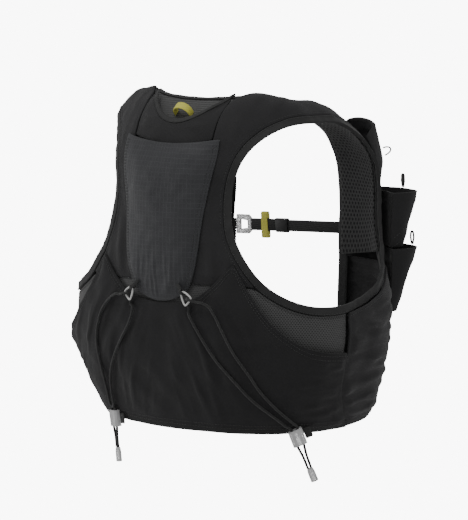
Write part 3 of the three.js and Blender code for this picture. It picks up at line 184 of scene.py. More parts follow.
camera = bpy.data.objects.new("camera", bpy.data.cameras.new("camera"))
camera.data.lens = 235.1
camera.location = (-2.0413, 2.9220, 0.3087)
aim = Vector((0.00347, 0.00243, -0.19166))
camera.rotation_euler = (aim - camera.location).to_track_quat("-Z", "Y").to_euler()
bpy.context.collection.objects.link(camera)
bpy.context.scene.camera = camera


# ---------------------------------------------------------------------------------------------
# The trunk that the cloth lies on
# ---------------------------------------------------------------------------------------------

def smooth(value, low, high):
    share = np.clip((value - low) / (high - low), 0.0, 1.0)
    return share * share * (3 - 2 * share)


def read(table, column, value):
    """Smooth values of a table's column, by its first column."""
    keys, data = table[:, 0], table[:, column]
    last = len(keys) - 1
    order = np.arange(len(keys))
    low, high = np.maximum(order - 1, 0), np.minimum(order + 1, last)
    slopes = (data[high] - data[low]) / (keys[high] - keys[low])
    value = np.clip(value, keys[0], keys[-1])
    row = np.clip(np.searchsorted(keys, value) - 1, 0, last - 1)
    span = keys[row + 1] - keys[row]
    t = (value - keys[row]) / span
    rise = data[row + 1] - data[row]
    start, end = slopes[row] * span, slopes[row + 1] * span
    return (data[row] + t * start + t**2 * (3 * rise - 2 * start - end)
            + t**3 * (start + end - 2 * rise))


def trunk(points):
    """Below 1 inside the trunk, 1 on its surface, for rows of points."""
    x, y, z = points[:, 0], points[:, 1], points[:, 2]
    low, high = (-share * VEST_HEIGHT for share in NECK_FALL_SPAN)
    fall = (NECK_FALL * smooth(RIDGE_LINE - y, 0, RIDGE_BLEND)
            * smooth(NECK_FALL_OUTSIDE - np.abs(x), 0, NECK_FALL_OUTSIDE - NECK_FALL_INSIDE)
            * smooth(z, low, high))
    drop = np.maximum(-(z + fall) / VEST_HEIGHT, 0)
    ahead = smooth(SIDE_LINE + SHOULDER_BLEND - y, 0, 2 * SHOULDER_BLEND)
    rear = read(SECTIONS, 1, drop)
    wide = HALF_WIDTH * (rear + (read(SECTIONS, 2, drop) - rear) * ahead)
    deep = np.where(y >= SIDE_LINE, BACK_DEPTH * read(SECTIONS, 3, drop),
                    FRONT_DEPTH * read(SECTIONS, 4, drop))
    power = BACK_ROUND + (FRONT_ROUND - BACK_ROUND) * ahead
    above = np.maximum(z + fall + CROWN_DROP, 0) * CROWN_STEEPNESS
    return (np.abs(x) / wide) ** power + (np.abs(y - SIDE_LINE) / deep) ** power + above


def slope(points):
    step = 0.0001
    return np.stack([(trunk(points + axis) - trunk(points - axis)) / (2 * step)
                     for axis in step * np.eye(3)], axis=1)


def outward(points):
    rise = slope(points)
    return rise / np.maximum(np.linalg.norm(rise, axis=1, keepdims=True), 1e-9)


def settle(points):
    """Moves points onto the trunk."""
    rounds, longest = 14, 0.008
    for _ in range(rounds):
        rise = slope(points)
        length = np.maximum(np.linalg.norm(rise, axis=1), 1e-6)
        move = np.clip((1 - trunk(points)) / length**2, -longest / length, longest / length)
        points = points + rise * move[:, None]
    return points


def ray_to_trunk(start, ray):
    """Points where rays from inside leave the trunk."""
    halvings = 36
    near, far = np.zeros(len(start)), np.full(len(start), 2 * HALF_WIDTH)
    for _ in range(halvings):
        middle = (near + far) / 2
        inside = trunk(start + ray * middle[:, None]) < 1
        near, far = np.where(inside, middle, near), np.where(inside, far, middle)
    return start + ray * near[:, None]


def around(turn, z):
    """Points at turns from the middle of the back, in degrees, and heights."""
    angle = np.radians(turn)
    start = np.stack([0 * z, SIDE_LINE + 0 * z, z], axis=1)
    return ray_to_trunk(start, np.stack([np.sin(angle), np.cos(angle), 0 * z], axis=1))


def behind(x, z):
    """Points of the back at a side and height."""
    start = np.stack([x, SIDE_LINE + 0 * z, z], axis=1)
    return ray_to_trunk(start, np.repeat([[0.0, 1.0, 0.0]], len(z), axis=0))


def line_through(marks, closed=False):
    """A smooth line through rows of points."""
    marks = np.asarray(marks, dtype=float)
    count = len(marks)
    found = []
    for i in range(count if closed else count - 1):
        a, b, c, d = (marks[(i + k) % count] if closed else marks[min(max(i + k, 0), count - 1)]
                      for k in (-1, 0, 1, 2))
        gaps = [max(np.linalg.norm(q - p), 1e-5) ** 0.5 for p, q in ((a, b), (b, c), (c, d))]
        if not closed and i == 0:
            gaps[0] = gaps[1]
            a = 2 * b - c
        if not closed and i == count - 2:
            gaps[2] = gaps[1]
            d = 2 * c - b
        start = ((b - a) / gaps[0] - (c - a) / (gaps[0] + gaps[1]) + (c - b) / gaps[1]) * gaps[1]
        end = ((c - b) / gaps[1] - (d - b) / (gaps[1] + gaps[2]) + (d - c) / gaps[2]) * gaps[1]
        t = np.arange(LINE_STEPS)[:, None] / LINE_STEPS
        found.append(b + t * start + t**2 * (3 * (c - b) - 2 * start - end)
                     + t**3 * (start + end - 2 * (c - b)))
    if not closed:
        found.append(marks[-1:])
    return np.concatenate(found)


def edge_line(table, closed):
    """An edge of the vest on the trunk, from its table."""
    aft = np.where(table[:, 1] < 0, FRONT_DEPTH, BACK_DEPTH)
    marks = settle(np.stack([table[:, 0] * HALF_WIDTH, SIDE_LINE + table[:, 1] * aft,
                             -table[:, 2] * VEST_HEIGHT], axis=1))
    return settle(line_through(marks, closed))


def aside(line, distance):
    """A line moved sideways on the trunk, to the right of its direction seen from outside."""
    across = np.cross(np.gradient(line, axis=0), outward(line))
    return settle(line + distance * across / np.linalg.norm(across, axis=1, keepdims=True))


def on_right(line):
    return line * np.array([-1.0, 1.0, 1.0])


def on_side(line, side):
    """A line of the left side, or its mirror run the other way, so that outside stays outside."""
    return on_right(line)[::-1] if side == "right" else line


# ---------------------------------------------------------------------------------------------
# Shader sums
# ---------------------------------------------------------------------------------------------

class Term:
    """One value of a material, written in sums like a number."""

    def __init__(self, finish, socket):
        self.finish, self.socket = finish, socket

    def maths(self, kind, *others):
        return self.finish.node("ShaderNodeMath", {"operation": kind},
                                dict(enumerate((self, *others))))

    def turned(self, kind, other):
        return self.finish.node("ShaderNodeMath", {"operation": kind}, {0: other, 1: self})

    def __add__(self, other): return self.maths("ADD", other)
    def __radd__(self, other): return self.turned("ADD", other)
    def __sub__(self, other): return self.maths("SUBTRACT", other)
    def __rsub__(self, other): return self.turned("SUBTRACT", other)
    def __mul__(self, other): return self.maths("MULTIPLY", other)
    def __rmul__(self, other): return self.turned("MULTIPLY", other)
    def __truediv__(self, other): return self.maths("DIVIDE", other)
    def wave(self, length): return (self * (2 * math.pi / length)).maths("SINE")
    def part(self, length): return self.maths("FLOORED_MODULO", length)
    def size(self): return self.maths("ABSOLUTE")
    def root(self): return self.maths("SQRT")
    def least(self, other): return self.maths("MINIMUM", other)
    def most(self, other): return self.maths("MAXIMUM", other)

    def between(self, low, high):
        """0 below low, 1 above high and smooth between them."""
        return self.finish.node("ShaderNodeMapRange", {"interpolation_type": "SMOOTHSTEP"},
                                {"Value": self, "From Min": low, "From Max": high})


class Finish:
    """A material in the making."""

    def __init__(self, name, **fixed):
        self.material = bpy.data.materials.new(name)
        self.material.use_nodes = True
        self.tree = self.material.node_tree
        self.tree.nodes.clear()
        self.shader = self.tree.nodes.new("ShaderNodeBsdfPrincipled")
        output = self.tree.nodes.new("ShaderNodeOutputMaterial")
        self.tree.links.new(self.shader.outputs[0], output.inputs[0])
        for key, value in fixed.items():
            self.shader.inputs[key.replace("_", " ")].default_value = value

    def node(self, kind, settings, values, out=0):
        made = self.tree.nodes.new(kind)
        for key, value in settings.items():
            setattr(made, key, value)
        for key, value in values.items():
            self.put(made.inputs[key], value)
        return Term(self, made.outputs[out])

    def put(self, socket, value):
        if isinstance(value, Term):
            self.tree.links.new(value.socket, socket)
        else:
            socket.default_value = value

    def across_and_along(self):
        """The piece's own flat coordinates, in metres."""
        place = self.node("ShaderNodeUVMap", {"uv_map": "cloth"}, {})
        return [self.node("ShaderNodeSeparateXYZ", {}, {0: place}, out) for out in (0, 1)]

    def cloud(self, size, detail=3.0):
        """Slow uneven change from 0 to 1, with patches of that size in metres."""
        place = self.node("ShaderNodeTexCoord", {}, {}, 3)
        return self.node("ShaderNodeTexNoise", {}, {
            "Vector": place, "Scale": 1 / size, "Detail": detail, "Roughness": 0.55})

    def mixed(self, share, low, high):
        """A colour between two."""
        mix = self.tree.nodes.new("ShaderNodeMix")
        mix.data_type = "RGBA"
        for place, value in ((0, share), (6, low), (7, high)):
            self.put(mix.inputs[place], value)
        return Term(self, mix.outputs[2])

    def done(self, colour, roughness, height=None):
        """Height is the relief, in metres."""
        self.put(self.shader.inputs["Base Color"], colour)
        self.put(self.shader.inputs["Roughness"], roughness)
        if height is not None:
            relief = self.node("ShaderNodeBump", {}, {"Strength": 1.0, "Distance": 1.0,
                                                      "Height": height})
            self.put(self.shader.inputs["Normal"], relief)
        return self.material


def tone(grey, tint=(1.0, 1.0, 1.0)):
    return (grey * tint[0], grey * tint[1], grey * tint[2], 1.0)


def cells(u, v, pitch):
    """Distance from the nearest centre of a honeycomb, in metres."""
    tall = pitch * math.sqrt(3)
    found = []
    for shift in (0.0, 0.5):
        a = (u + shift * pitch).part(pitch) - pitch / 2
        b = (v + shift * tall).part(tall) - tall / 2
        found.append((a * a + b * b).root())
    return found[0].least(found[1])


# Tints of the black cloths and of the ripstop
NIGHT = (1.0, 0.985, 1.03)
SLATE = (0.98, 1.0, 1.10)


def woven_finish(name, grey, pitch=0.0009, roughness=0.82, sheen=0.12):
    """Tightly woven black stretch cloth."""
    finish = Finish(name, Sheen_Weight=sheen, Sheen_Roughness=0.45, Specular_IOR_Level=0.28)
    u, v = finish.across_and_along()
    twill = (u + v).wave(pitch) * (u - v).wave(pitch)
    patches = finish.cloud(0.05)
    share = (0.5 + 0.18 * twill + 0.9 * (patches - 0.5)).between(0.0, 1.0)
    return finish.done(finish.mixed(share, tone(0.78 * grey, NIGHT), tone(1.22 * grey, NIGHT)),
                       roughness + 0.1 * (patches - 0.5), 0.00005 * twill)


def ripstop_finish():
    """Light ripstop with a thicker thread every five millimetres."""
    finish = Finish("reservoir_ripstop", Sheen_Weight=0.18, Sheen_Roughness=0.4,
                    Specular_IOR_Level=0.45)
    u, v = finish.across_and_along()
    step = 0.005
    rows = [((place.part(step) - step / 2).size() / step).between(0.38, 0.47) for place in (u, v)]
    threads = rows[0].most(rows[1])
    fine = u.wave(0.0011) * v.wave(0.0011)
    patches = finish.cloud(0.045)
    share = (0.34 + 0.22 * threads + 0.08 * fine + 0.5 * (patches - 0.5)).between(0.0, 1.0)
    return finish.done(finish.mixed(share, tone(0.030, SLATE), tone(0.052, SLATE)),
                       0.60 - 0.08 * threads, 0.00010 * threads + 0.00002 * fine)


def open_mesh_finish(name, pitch, thread_grey, hole_grey, relief):
    """Mesh with dark round holes in a honeycomb."""
    finish = Finish(name, Sheen_Weight=0.15, Sheen_Roughness=0.5, Specular_IOR_Level=0.3)
    u, v = finish.across_and_along()
    rim = (cells(u, v, pitch) / pitch).between(0.20, 0.40)
    patches = finish.cloud(0.04)
    share = (rim + 0.3 * (patches - 0.5)).between(0.0, 1.0)
    return finish.done(finish.mixed(share, tone(hole_grey), tone(thread_grey)),
                       0.75 - 0.1 * rim, relief * rim)


def tape_finish(name, dark, light, pitch=0.0016, relief=0.00012):
    """Narrow woven tape with ribs across it."""
    finish = Finish(name, Sheen_Weight=0.15, Sheen_Roughness=0.4, Specular_IOR_Level=0.35)
    u, v = finish.across_and_along()
    ribs = 0.5 + 0.5 * (v.wave(pitch) * (u.wave(2 * pitch) * 0.35 + 0.65))
    patches = finish.cloud(0.02)
    share = (0.25 + 0.5 * ribs + 0.5 * (patches - 0.5)).between(0.0, 1.0)
    return finish.done(finish.mixed(share, dark, light), 0.62 + 0.1 * (patches - 0.5),
                       relief * ribs)


def braid_finish():
    """Braided elastic cord: two crossing sets of threads, with lighter thread crowns that are
    partly the braid's colour and partly a painted highlight.
    """
    finish = Finish("elastic_braid", Sheen_Weight=0.2, Sheen_Roughness=0.4,
                    Specular_IOR_Level=0.35)
    u, v = finish.across_and_along()
    threads = (u + v).wave(CORD_DIAMETER / 2).most((u - v).wave(CORD_DIAMETER / 2))
    patches = finish.cloud(0.01)
    share = (0.3 + 0.35 * threads + 0.3 * (patches - 0.5)).between(0.0, 1.0)
    # The lighter tone on the thread crowns is partly the braid's own colour and partly a painted
    # highlight.
    return finish.done(finish.mixed(share, tone(0.012), tone(0.048)), 0.68 - 0.1 * threads,
                       0.00016 * threads)


def moulded_finish(name, dark, light, roughness, size=0.006, **fixed):
    """Moulded plastic with a faint uneven skin."""
    finish = Finish(name, **fixed)
    patches, grain = finish.cloud(size), finish.cloud(0.0008, 2.0)
    share = (0.5 + 0.9 * (patches - 0.5) + 0.2 * (grain - 0.5)).between(0.0, 1.0)
    return finish.done(finish.mixed(share, dark, light), roughness + 0.16 * (patches - 0.5),
                       0.00003 * grain)


def binding_finish():
    """Soft folded binding with fine ribs along its run."""
    finish = Finish("edge_binding", Sheen_Weight=0.12, Sheen_Roughness=0.4, Specular_IOR_Level=0.4)
    u, v = finish.across_and_along()
    ribs = (u + 0.6 * v).wave(0.0012)
    patches = finish.cloud(0.03)
    share = (0.5 + 0.2 * ribs + 0.8 * (patches - 0.5)).between(0.0, 1.0)
    return finish.done(finish.mixed(share, tone(0.016), tone(0.030)),
                       0.62 + 0.1 * (patches - 0.5), 0.00004 * ribs)


FINISHES = {
    "yoke": woven_finish("shoulder_stretch_cloth", 0.027),
    "pocket": woven_finish("pocket_stretch_cloth", 0.020, pitch=0.0011),
    "gathered": woven_finish("gathered_front_cloth", 0.021, pitch=0.0010, roughness=0.76,
                             sheen=0.18),
    "ripstop": ripstop_finish(),
    "sheer": open_mesh_finish("sheer_side_mesh", 0.0022, 0.090, 0.034, 0.00015),
    "lining": open_mesh_finish("honeycomb_lining", 0.0046, 0.052, 0.009, 0.00045),
    "binding": binding_finish(),
    "cord": braid_finish(),
    "ring": moulded_finish("ring_pale_coating", tone(0.62), tone(0.78, (1.0, 1.0, 0.96)), 0.38,
                           Specular_IOR_Level=0.5),
    "clear": moulded_finish("frosted_plastic", tone(0.66), tone(0.84), 0.34, Specular_IOR_Level=0.5,
                            Transmission_Weight=0.25),
    "yellow": tape_finish("yellow_tape", (0.56, 0.53, 0.06, 1), (0.80, 0.76, 0.16, 1)),
    "dark_tape": tape_finish("dark_tape", tone(0.014), tone(0.034)),
    "webbing": tape_finish("chest_webbing_weave", tone(0.012), tone(0.040), pitch=0.0020,
                           relief=0.0002),
    "slider": moulded_finish("dark_plastic", tone(0.014), tone(0.030), 0.42,
                             Specular_IOR_Level=0.5),
    "thread": moulded_finish("seam_thread", tone(0.016), tone(0.040), 0.6, size=0.002,
                             Sheen_Weight=0.2),
}


# ---------------------------------------------------------------------------------------------
# Folds
# ---------------------------------------------------------------------------------------------

def rolling(points, seed, size, stretch=(1.0, 1.0, 1.0)):
    """Slow uneven waves from about -1 to 1. stretch makes them longer along an axis."""
    draws = np.random.default_rng(seed)
    total = np.zeros(len(points))
    for _ in range(WAVES):
        way = draws.normal(size=points.shape[1])
        way = way / np.linalg.norm(way) / np.array(stretch[:points.shape[1]])
        length = size * draws.uniform(0.75, 1.5)
        total += np.sin(points @ way * (2 * math.pi / length) + draws.uniform(0, 2 * math.pi))
    return total / math.sqrt(WAVES / 2) / WAVE_PEAK


def ridges(flat, seed, size, stretch=(1.0, 1.0), sharp=1.6):
    """Narrow ridges between wide hollows, from 0 to 1."""
    return (0.5 + 0.5 * np.clip(rolling(flat, seed, size, stretch), -1, 1)) ** sharp


def flat_place(points, over):
    """Flat coordinates in metres: round the body, or over the shoulder from back to front."""
    x, y, z = points[:, 0], points[:, 1] - SIDE_LINE, points[:, 2]
    if over:
        return np.stack([x, np.arctan2(y, z - SHOULDER_MIDDLE) * SHOULDER_ROUND], axis=1)
    return np.stack([np.arctan2(x, y) * BODY_ROUND, z], axis=1)


def turn_of(points):
    """Turns from the middle of the back, in degrees."""
    return np.degrees(np.arctan2(points[:, 0], points[:, 1] - SIDE_LINE))


def shared_drift(points):
    """What every piece does alike, so that seams stay closed."""
    return 0.0007 * rolling(points, 3, 0.055) + 0.0003 * rolling(points, 5, 0.022)


# Each of these says how far the cloth moves outward, in metres. inset is 0 at a rim and 1 away
# from it. The numbers of a row of ridges are its seed, size, stretch and sharpness.

def shoulder_folds(points, inset):
    """Soft drag lines of the shoulder panels, higher toward the waist."""
    lines = ridges(flat_place(points, True), 11, 0.020, (0.8, 2.6), 2.0)
    low = smooth(-points[:, 2], 0.09, 0.17)
    return inset * (0.0009 + 0.0010 * low) * lines


def reservoir_folds(points, inset):
    """Broad hollows, and pleats where the pocket narrows at its foot."""
    flat = flat_place(points, False)
    broad = ridges(flat, 21, 0.050, (0.9, 1.6))
    small = rolling(flat, 23, 0.014, (1.3, 0.9))
    foot = smooth(-points[:, 2], 0.150, 0.205)
    pleats = ridges(flat, 27, 0.011, (0.7, 3.5), 1.5)
    return inset * (0.0016 * broad + 0.00025 * small + 0.0011 * foot * pleats)


def pocket_folds(points, inset):
    """Long folds from the rings down to the hem, and small level ones at the sides."""
    side, z = np.abs(turn_of(points)), points[:, 2]
    down = np.clip((-z - FAN_TOP) / FAN_HEIGHT, 0, 1)
    fan = side - FAN_START - FAN_TURN * down
    drag = ridges(np.stack([fan * FAN_WIDTH, z], axis=1), 31, 0.016, (1.0, 4.5), 2.2)
    spread = np.sin(math.pi * np.clip(down, 0.02, 1)) * smooth(side, 4, 14)
    flat = flat_place(points, False)
    slack = ridges(flat, 35, 0.030, (1.4, 1.0))
    level = ridges(flat, 37, 0.010, (3.2, 0.8), 1.8)
    return inset * (0.0018 * drag * spread + 0.0011 * slack
                    + 0.0011 * level * smooth(side, 62, 84))


def front_folds(points, inset):
    """Level gathers of the front panels, from the side seam forward."""
    flat = flat_place(points, False)
    tight = ridges(flat, 41, 0.0095, (4.2, 0.9), 1.7)
    broad = ridges(flat, 43, 0.022, (2.8, 0.9), 1.5)
    return inset * (0.0017 * tight + 0.0020 * broad)


def chest_folds(points, inset):
    """Level pleats over soft hollows."""
    flat = flat_place(points, True)
    pleats = ridges(flat, 51, 0.012, (3.0, 0.9))
    return inset * (0.0016 * pleats + 0.0008 * ridges(flat, 53, 0.03))


def pouch_folds(points, inset):
    """Upright folds of the flask pockets over soft hollows."""
    flat = flat_place(points, False)
    return inset * (0.0010 * ridges(flat, 61, 0.010, (1.0, 3.0))
                    + 0.0008 * ridges(flat, 63, 0.03))


def flap_folds(points, inset):
    return inset * (0.0008 * ridges(flat_place(points, False), 71, 0.016, (2.6, 0.8)))


def binding_ripple(points, inset):
    return 0.00025 * rolling(points, 81, 0.009)


# ---------------------------------------------------------------------------------------------
# Pieces
# ---------------------------------------------------------------------------------------------

def merged(name):
    """A joined-up copy of a CAD node's mesh, with its flat faces made whole."""
    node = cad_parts[name]
    work = bmesh.new()
    work.from_mesh(node.data)
    work.transform(node.matrix_world)
    bmesh.ops.remove_doubles(work, verts=work.verts, dist=MERGE_GAP)
    bmesh.ops.join_triangles(work, faces=work.faces, angle_face_threshold=math.radians(40),
                             angle_shape_threshold=math.radians(60))
    bmesh.ops.recalc_face_normals(work, faces=work.faces)
    return work


def add_object(name, mesh):
    piece = bpy.data.objects.new(name, mesh)
    bpy.context.collection.objects.link(piece)
    return piece


def object_of(name, work):
    """An object from a mesh in the making."""
    mesh = bpy.data.meshes.new(name)
    work.to_mesh(mesh)
    work.free()
    return add_object(name, mesh)


def apply_modifiers(piece):
    """Turns a piece and its modifiers into one plain mesh."""
    ready = piece.evaluated_get(bpy.context.evaluated_depsgraph_get())
    mesh = bpy.data.meshes.new_from_object(ready)
    piece.modifiers.clear()
    old, piece.data = piece.data, mesh
    bpy.data.meshes.remove(old)


def places(mesh):
    found = np.empty(3 * len(mesh.vertices))
    mesh.vertices.foreach_get("co", found)
    return found.reshape(-1, 3)


def lay_flat(mesh, over):
    """Gives the mesh its own flat coordinates, in metres."""
    flat = flat_place(places(mesh), over)
    corners = np.empty(len(mesh.loops), dtype=int)
    mesh.loops.foreach_get("vertex_index", corners)
    layer = mesh.uv_layers.new(name="cloth")
    layer.data.foreach_set("uv", flat[corners].ravel())


def move_out(piece, points, distance):
    """Moves a piece's points away from the trunk."""
    points = points + outward(points) * distance[:, None]
    piece.data.vertices.foreach_set("co", points.ravel())
    piece.data.update()


def finished(piece, finish):
    piece.data.materials.clear()
    piece.data.materials.append(FINISHES[finish])
    piece.data.shade_smooth()


def cloth(node, finish, levels=3, folds=None, over=False):
    """Makes a sewn piece from a CAD wall: rounded, folded and laid with its cloth."""
    work = merged(node)
    crease = work.edges.layers.float.new("crease_edge")
    rims = []
    for edge in work.edges:
        if len(edge.link_faces) == 2 and edge.calc_face_angle(0) > math.radians(SHARP_ANGLE):
            edge[crease] = RIM_CREASE
            start, end = (vertex.co for vertex in edge.verts)
            rims += [start.lerp(end, k / 4) for k in range(5)]
    piece = object_of("sewn_" + node, work)
    round_off = piece.modifiers.new("round_off", "SUBSURF")
    round_off.levels = round_off.render_levels = levels
    apply_modifiers(piece)

    points = places(piece.data)
    move = shared_drift(points)
    if folds:
        tree = KDTree(len(rims))
        for i, rim_point in enumerate(rims):
            tree.insert(rim_point, i)
        tree.balance()
        away = np.array([tree.find(point)[2] for point in points])
        move = move + folds(points, smooth(away, *RIM_SPAN))
    move_out(piece, points, move)
    lay_flat(piece.data, over)
    finished(piece, finish)
    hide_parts(node)
    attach(piece, "root")
    return piece


def fitting(node, finish, slot, edge=0.0004, rounded=False):
    """Makes a moulded or narrow piece from a CAD node, with softened edges."""
    piece = object_of("made_" + node, merged(node))
    if rounded:
        soft = piece.modifiers.new("soft", "SUBSURF")
        soft.levels = soft.render_levels = 2
    else:
        soft = piece.modifiers.new("soft", "BEVEL")
        soft.width, soft.segments, soft.limit_method = edge, 3, "ANGLE"
        soft.angle_limit = math.radians(BEVEL_ANGLE)
    apply_modifiers(piece)
    points = places(piece.data)
    move_out(piece, points, shared_drift(points))
    lay_flat(piece.data, False)
    finished(piece, finish)
    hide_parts(node)
    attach(piece, "root")
    return piece


BOTH = ("left", "right")
sewn = []
for side in BOTH:
    sewn += [
        cloth(f"shoulder_panel_{side}", "yoke", folds=shoulder_folds, over=True),
        cloth(f"strap_lining_{side}", "lining", levels=2, over=True),
        cloth(f"front_panel_{side}", "gathered", folds=front_folds),
        cloth(f"chest_panel_{side}", "gathered", folds=chest_folds, over=True),
        cloth(f"upper_flask_pocket_{side}", "pocket", folds=pouch_folds),
        cloth(f"lower_flask_pocket_{side}", "pocket", folds=pouch_folds),
        cloth(f"armhole_binding_{side}", "binding", folds=binding_ripple),
    ]
sewn += [
    cloth("back_panel", "sheer", levels=2),
    cloth("waist_mesh", "sheer", levels=2),
    cloth("reservoir_pocket", "ripstop", folds=reservoir_folds),
    cloth("reservoir_flap", "gathered", folds=flap_folds),
    cloth("lower_pocket", "pocket", folds=pocket_folds),
    cloth("mouth_binding", "binding", levels=2, folds=binding_ripple),
    cloth("neck_binding", "binding", levels=2, folds=binding_ripple),
]

for side in BOTH:
    for name, finish, slot, kind in (
        ("triangle_ring", "ring", "ring", {"rounded": True}),
        ("ring_tab", "dark_tape", "binding", {}),
        ("hem_tab", "dark_tape", "binding", {}),
        ("pull_tab", "dark_tape", "binding", {}),
        ("chest_loop", "dark_tape", "cord", {"edge": 0.0002}),
        ("flask_loop", "dark_tape", "cord", {"edge": 0.0002}),
        ("cord_lock", "clear", "clear", {"edge": 0.0007}),
        ("cord_end", "clear", "clear", {"edge": 0.0006}),
    ):
        fitting(f"{name}_{side}", finish, slot, **kind)
for name, finish, slot, kind in (
    ("hang_loop", "yellow", "yellow", {}),
    ("chest_webbing", "webbing", "webbing", {"edge": 0.0003}),
    ("chest_webbing_end", "webbing", "webbing", {"edge": 0.0003}),
    ("buckle_anchor", "dark_tape", "webbing", {}),
    ("strap_slider", "slider", "slider", {}),
    ("buckle_tab", "yellow", "yellow", {}),
    ("hook_buckle", "clear", "clear", {"edge": 0.0006}),
):
    fitting(name, finish, slot, **kind)


# ---------------------------------------------------------------------------------------------
# Lines laid on the cloth
# ---------------------------------------------------------------------------------------------

def skin_of(pieces):
    points, faces = [], []
    for piece in pieces:
        start = len(points)
        points += [tuple(v.co) for v in piece.data.vertices]
        faces += [[start + i for i in face.vertices] for face in piece.data.polygons]
    return BVHTree.FromPolygons(points, faces)


skin = skin_of(sewn)


def draped(line):
    """Lays a line on the outermost cloth. Points that meet none are dropped."""
    found = []
    for point, way in zip(line, outward(line)):
        hit = skin.ray_cast(Vector(point + way * DRAPE_REACH), Vector(-way),
                            DRAPE_REACH + DRAPE_DEPTH)
        if hit[0] is not None:
            found.append(np.array(hit[0]) + way * THREAD_LIFT)
    return np.array(found)


def stitch_tree():
    """Geometry nodes: a short rod of thread at every step along the lines."""
    tree = bpy.data.node_groups.new("row_of_stitches", "GeometryNodeTree")
    sockets = {}
    for name, kind, value in (
        ("Geometry", "NodeSocketGeometry", None), ("Step", "NodeSocketFloat", STITCH_STEP),
        ("Stitch", "NodeSocketFloat", STITCH_LENGTH), ("Thread", "NodeSocketFloat", THREAD_RADIUS),
        ("Uneven", "NodeSocketFloat", STITCH_UNEVEN), ("Seed", "NodeSocketInt", STITCH_SEED),
        ("Finish", "NodeSocketMaterial", None),
    ):
        made = tree.interface.new_socket(name, in_out="INPUT", socket_type=kind)
        if value is not None:
            made.default_value = value
        sockets[name] = made.identifier
    tree.interface.new_socket("Geometry", in_out="OUTPUT", socket_type="NodeSocketGeometry")

    def node(kind, settings=None, **values):
        made = tree.nodes.new(kind)
        for key, value in (settings or {}).items():
            setattr(made, key, value)
        for key, value in values.items():
            socket = made.inputs[key.replace("_", " ")]
            if isinstance(value, bpy.types.NodeSocket):
                tree.links.new(value, socket)
            else:
                socket.default_value = value
        return made

    given = tree.nodes.new("NodeGroupInput").outputs
    steps = node("GeometryNodeResampleCurve", {"mode": "LENGTH"}, Curve=given["Geometry"],
                 Length=given["Step"])
    tangent = node("GeometryNodeInputTangent").outputs[0]
    rod = node("GeometryNodeMeshCylinder", Vertices=6, Radius=given["Thread"],
               Depth=given["Stitch"])
    turned = node("FunctionNodeAlignRotationToVector", {"axis": "Z"}, Vector=tangent)
    uneven = node("FunctionNodeRandomValue", {"data_type": "FLOAT"}, Seed=given["Seed"])
    low = node("ShaderNodeMath", {"operation": "SUBTRACT"})
    low.inputs[0].default_value = 1.0
    tree.links.new(given["Uneven"], low.inputs[1])
    tree.links.new(low.outputs[0], uneven.inputs[2])
    uneven.inputs[3].default_value = 1.0
    rows = node("GeometryNodeInstanceOnPoints", Points=steps.outputs[0], Instance=rod.outputs[0],
                Rotation=turned.outputs[0], Scale=uneven.outputs[1])
    real = node("GeometryNodeRealizeInstances", Geometry=rows.outputs[0])
    set_finish = node("GeometryNodeSetMaterial", Geometry=real.outputs[0], Material=given["Finish"])
    tree.links.new(set_finish.outputs[0], tree.nodes.new("NodeGroupOutput").inputs[0])
    return tree, sockets


STITCHES, STITCH_INPUTS = stitch_tree()


def stitch_rows(name, lines, finish):
    """One piece of stitching along several lines."""
    curve = bpy.data.curves.new(name, "CURVE")
    curve.dimensions = "3D"
    for line in lines:
        spline = curve.splines.new("POLY")
        spline.points.add(len(line) - 1)
        for point, place in zip(spline.points, line):
            point.co = (*place, 1.0)
    source = add_object(name + "_lines", curve)
    making = source.modifiers.new("stitches", "NODES")
    making.node_group = STITCHES
    for key, value in (("Step", STITCH_STEP), ("Stitch", STITCH_LENGTH),
                       ("Thread", THREAD_RADIUS), ("Seed", STITCH_SEED),
                       ("Finish", FINISHES[finish])):
        making[STITCH_INPUTS[key]] = value
    ready = source.evaluated_get(bpy.context.evaluated_depsgraph_get())
    mesh = bpy.data.meshes.new_from_object(ready)
    bpy.data.objects.remove(source)
    piece = add_object(name, mesh)
    lay_flat(piece.data, False)
    finished(piece, finish)
    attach(piece, "root")


def unbroken(line):
    """Parts of a line without jumps."""
    if len(line) < 2:
        return []
    cuts = np.where(np.linalg.norm(np.diff(line, axis=0), axis=1) > LONGEST_JUMP)[0] + 1
    return [part for part in np.split(line, cuts) if len(part) > 2]


def seam_tape(name, line, near, far, depth):
    """A flat tape on the inside of a seam, from one distance beside a line to another."""
    rows = []
    for share in np.linspace(0, 1, TAPE_ROWS):
        row = aside(line, near + share * (far - near))
        rows.append(row + outward(row) * (shared_drift(row) - depth)[:, None])
    outer = np.array(rows)
    ways = outward(outer.reshape(-1, 3)).reshape(outer.shape)
    points = np.concatenate([outer, outer - ways * TAPE_WALL])
    count, shift = len(line), len(rows) * len(line)
    faces = []
    for i in range(TAPE_ROWS - 1):
        for a in range(i * count, i * count + count - 1):
            b = a + count
            faces += [(a, b, b + 1, a + 1),
                      (a + shift, a + 1 + shift, b + 1 + shift, b + shift)]
    for a in range(count - 1):
        faces.append((a, a + 1, a + 1 + shift, a + shift))
    for a in range(shift - count, shift - 1):
        faces.append((a, a + shift, a + 1 + shift, a + 1))
    mesh = bpy.data.meshes.new(name)
    mesh.from_pydata(points.reshape(-1, 3).tolist(), [], faces)
    work = bmesh.new()
    work.from_mesh(mesh)
    bmesh.ops.recalc_face_normals(work, faces=work.faces)
    work.to_mesh(mesh)
    work.free()
    piece = add_object(name, mesh)
    lay_flat(piece.data, False)
    finished(piece, "binding")
    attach(piece, "root")


def beside_reservoir(down, inset):
    """A line inside the edge of the reservoir pocket, at drops as shares of the height."""
    return behind(HALF_WIDTH * read(RESERVOIR_SHAPE, 1, down) - inset, -down * VEST_HEIGHT)


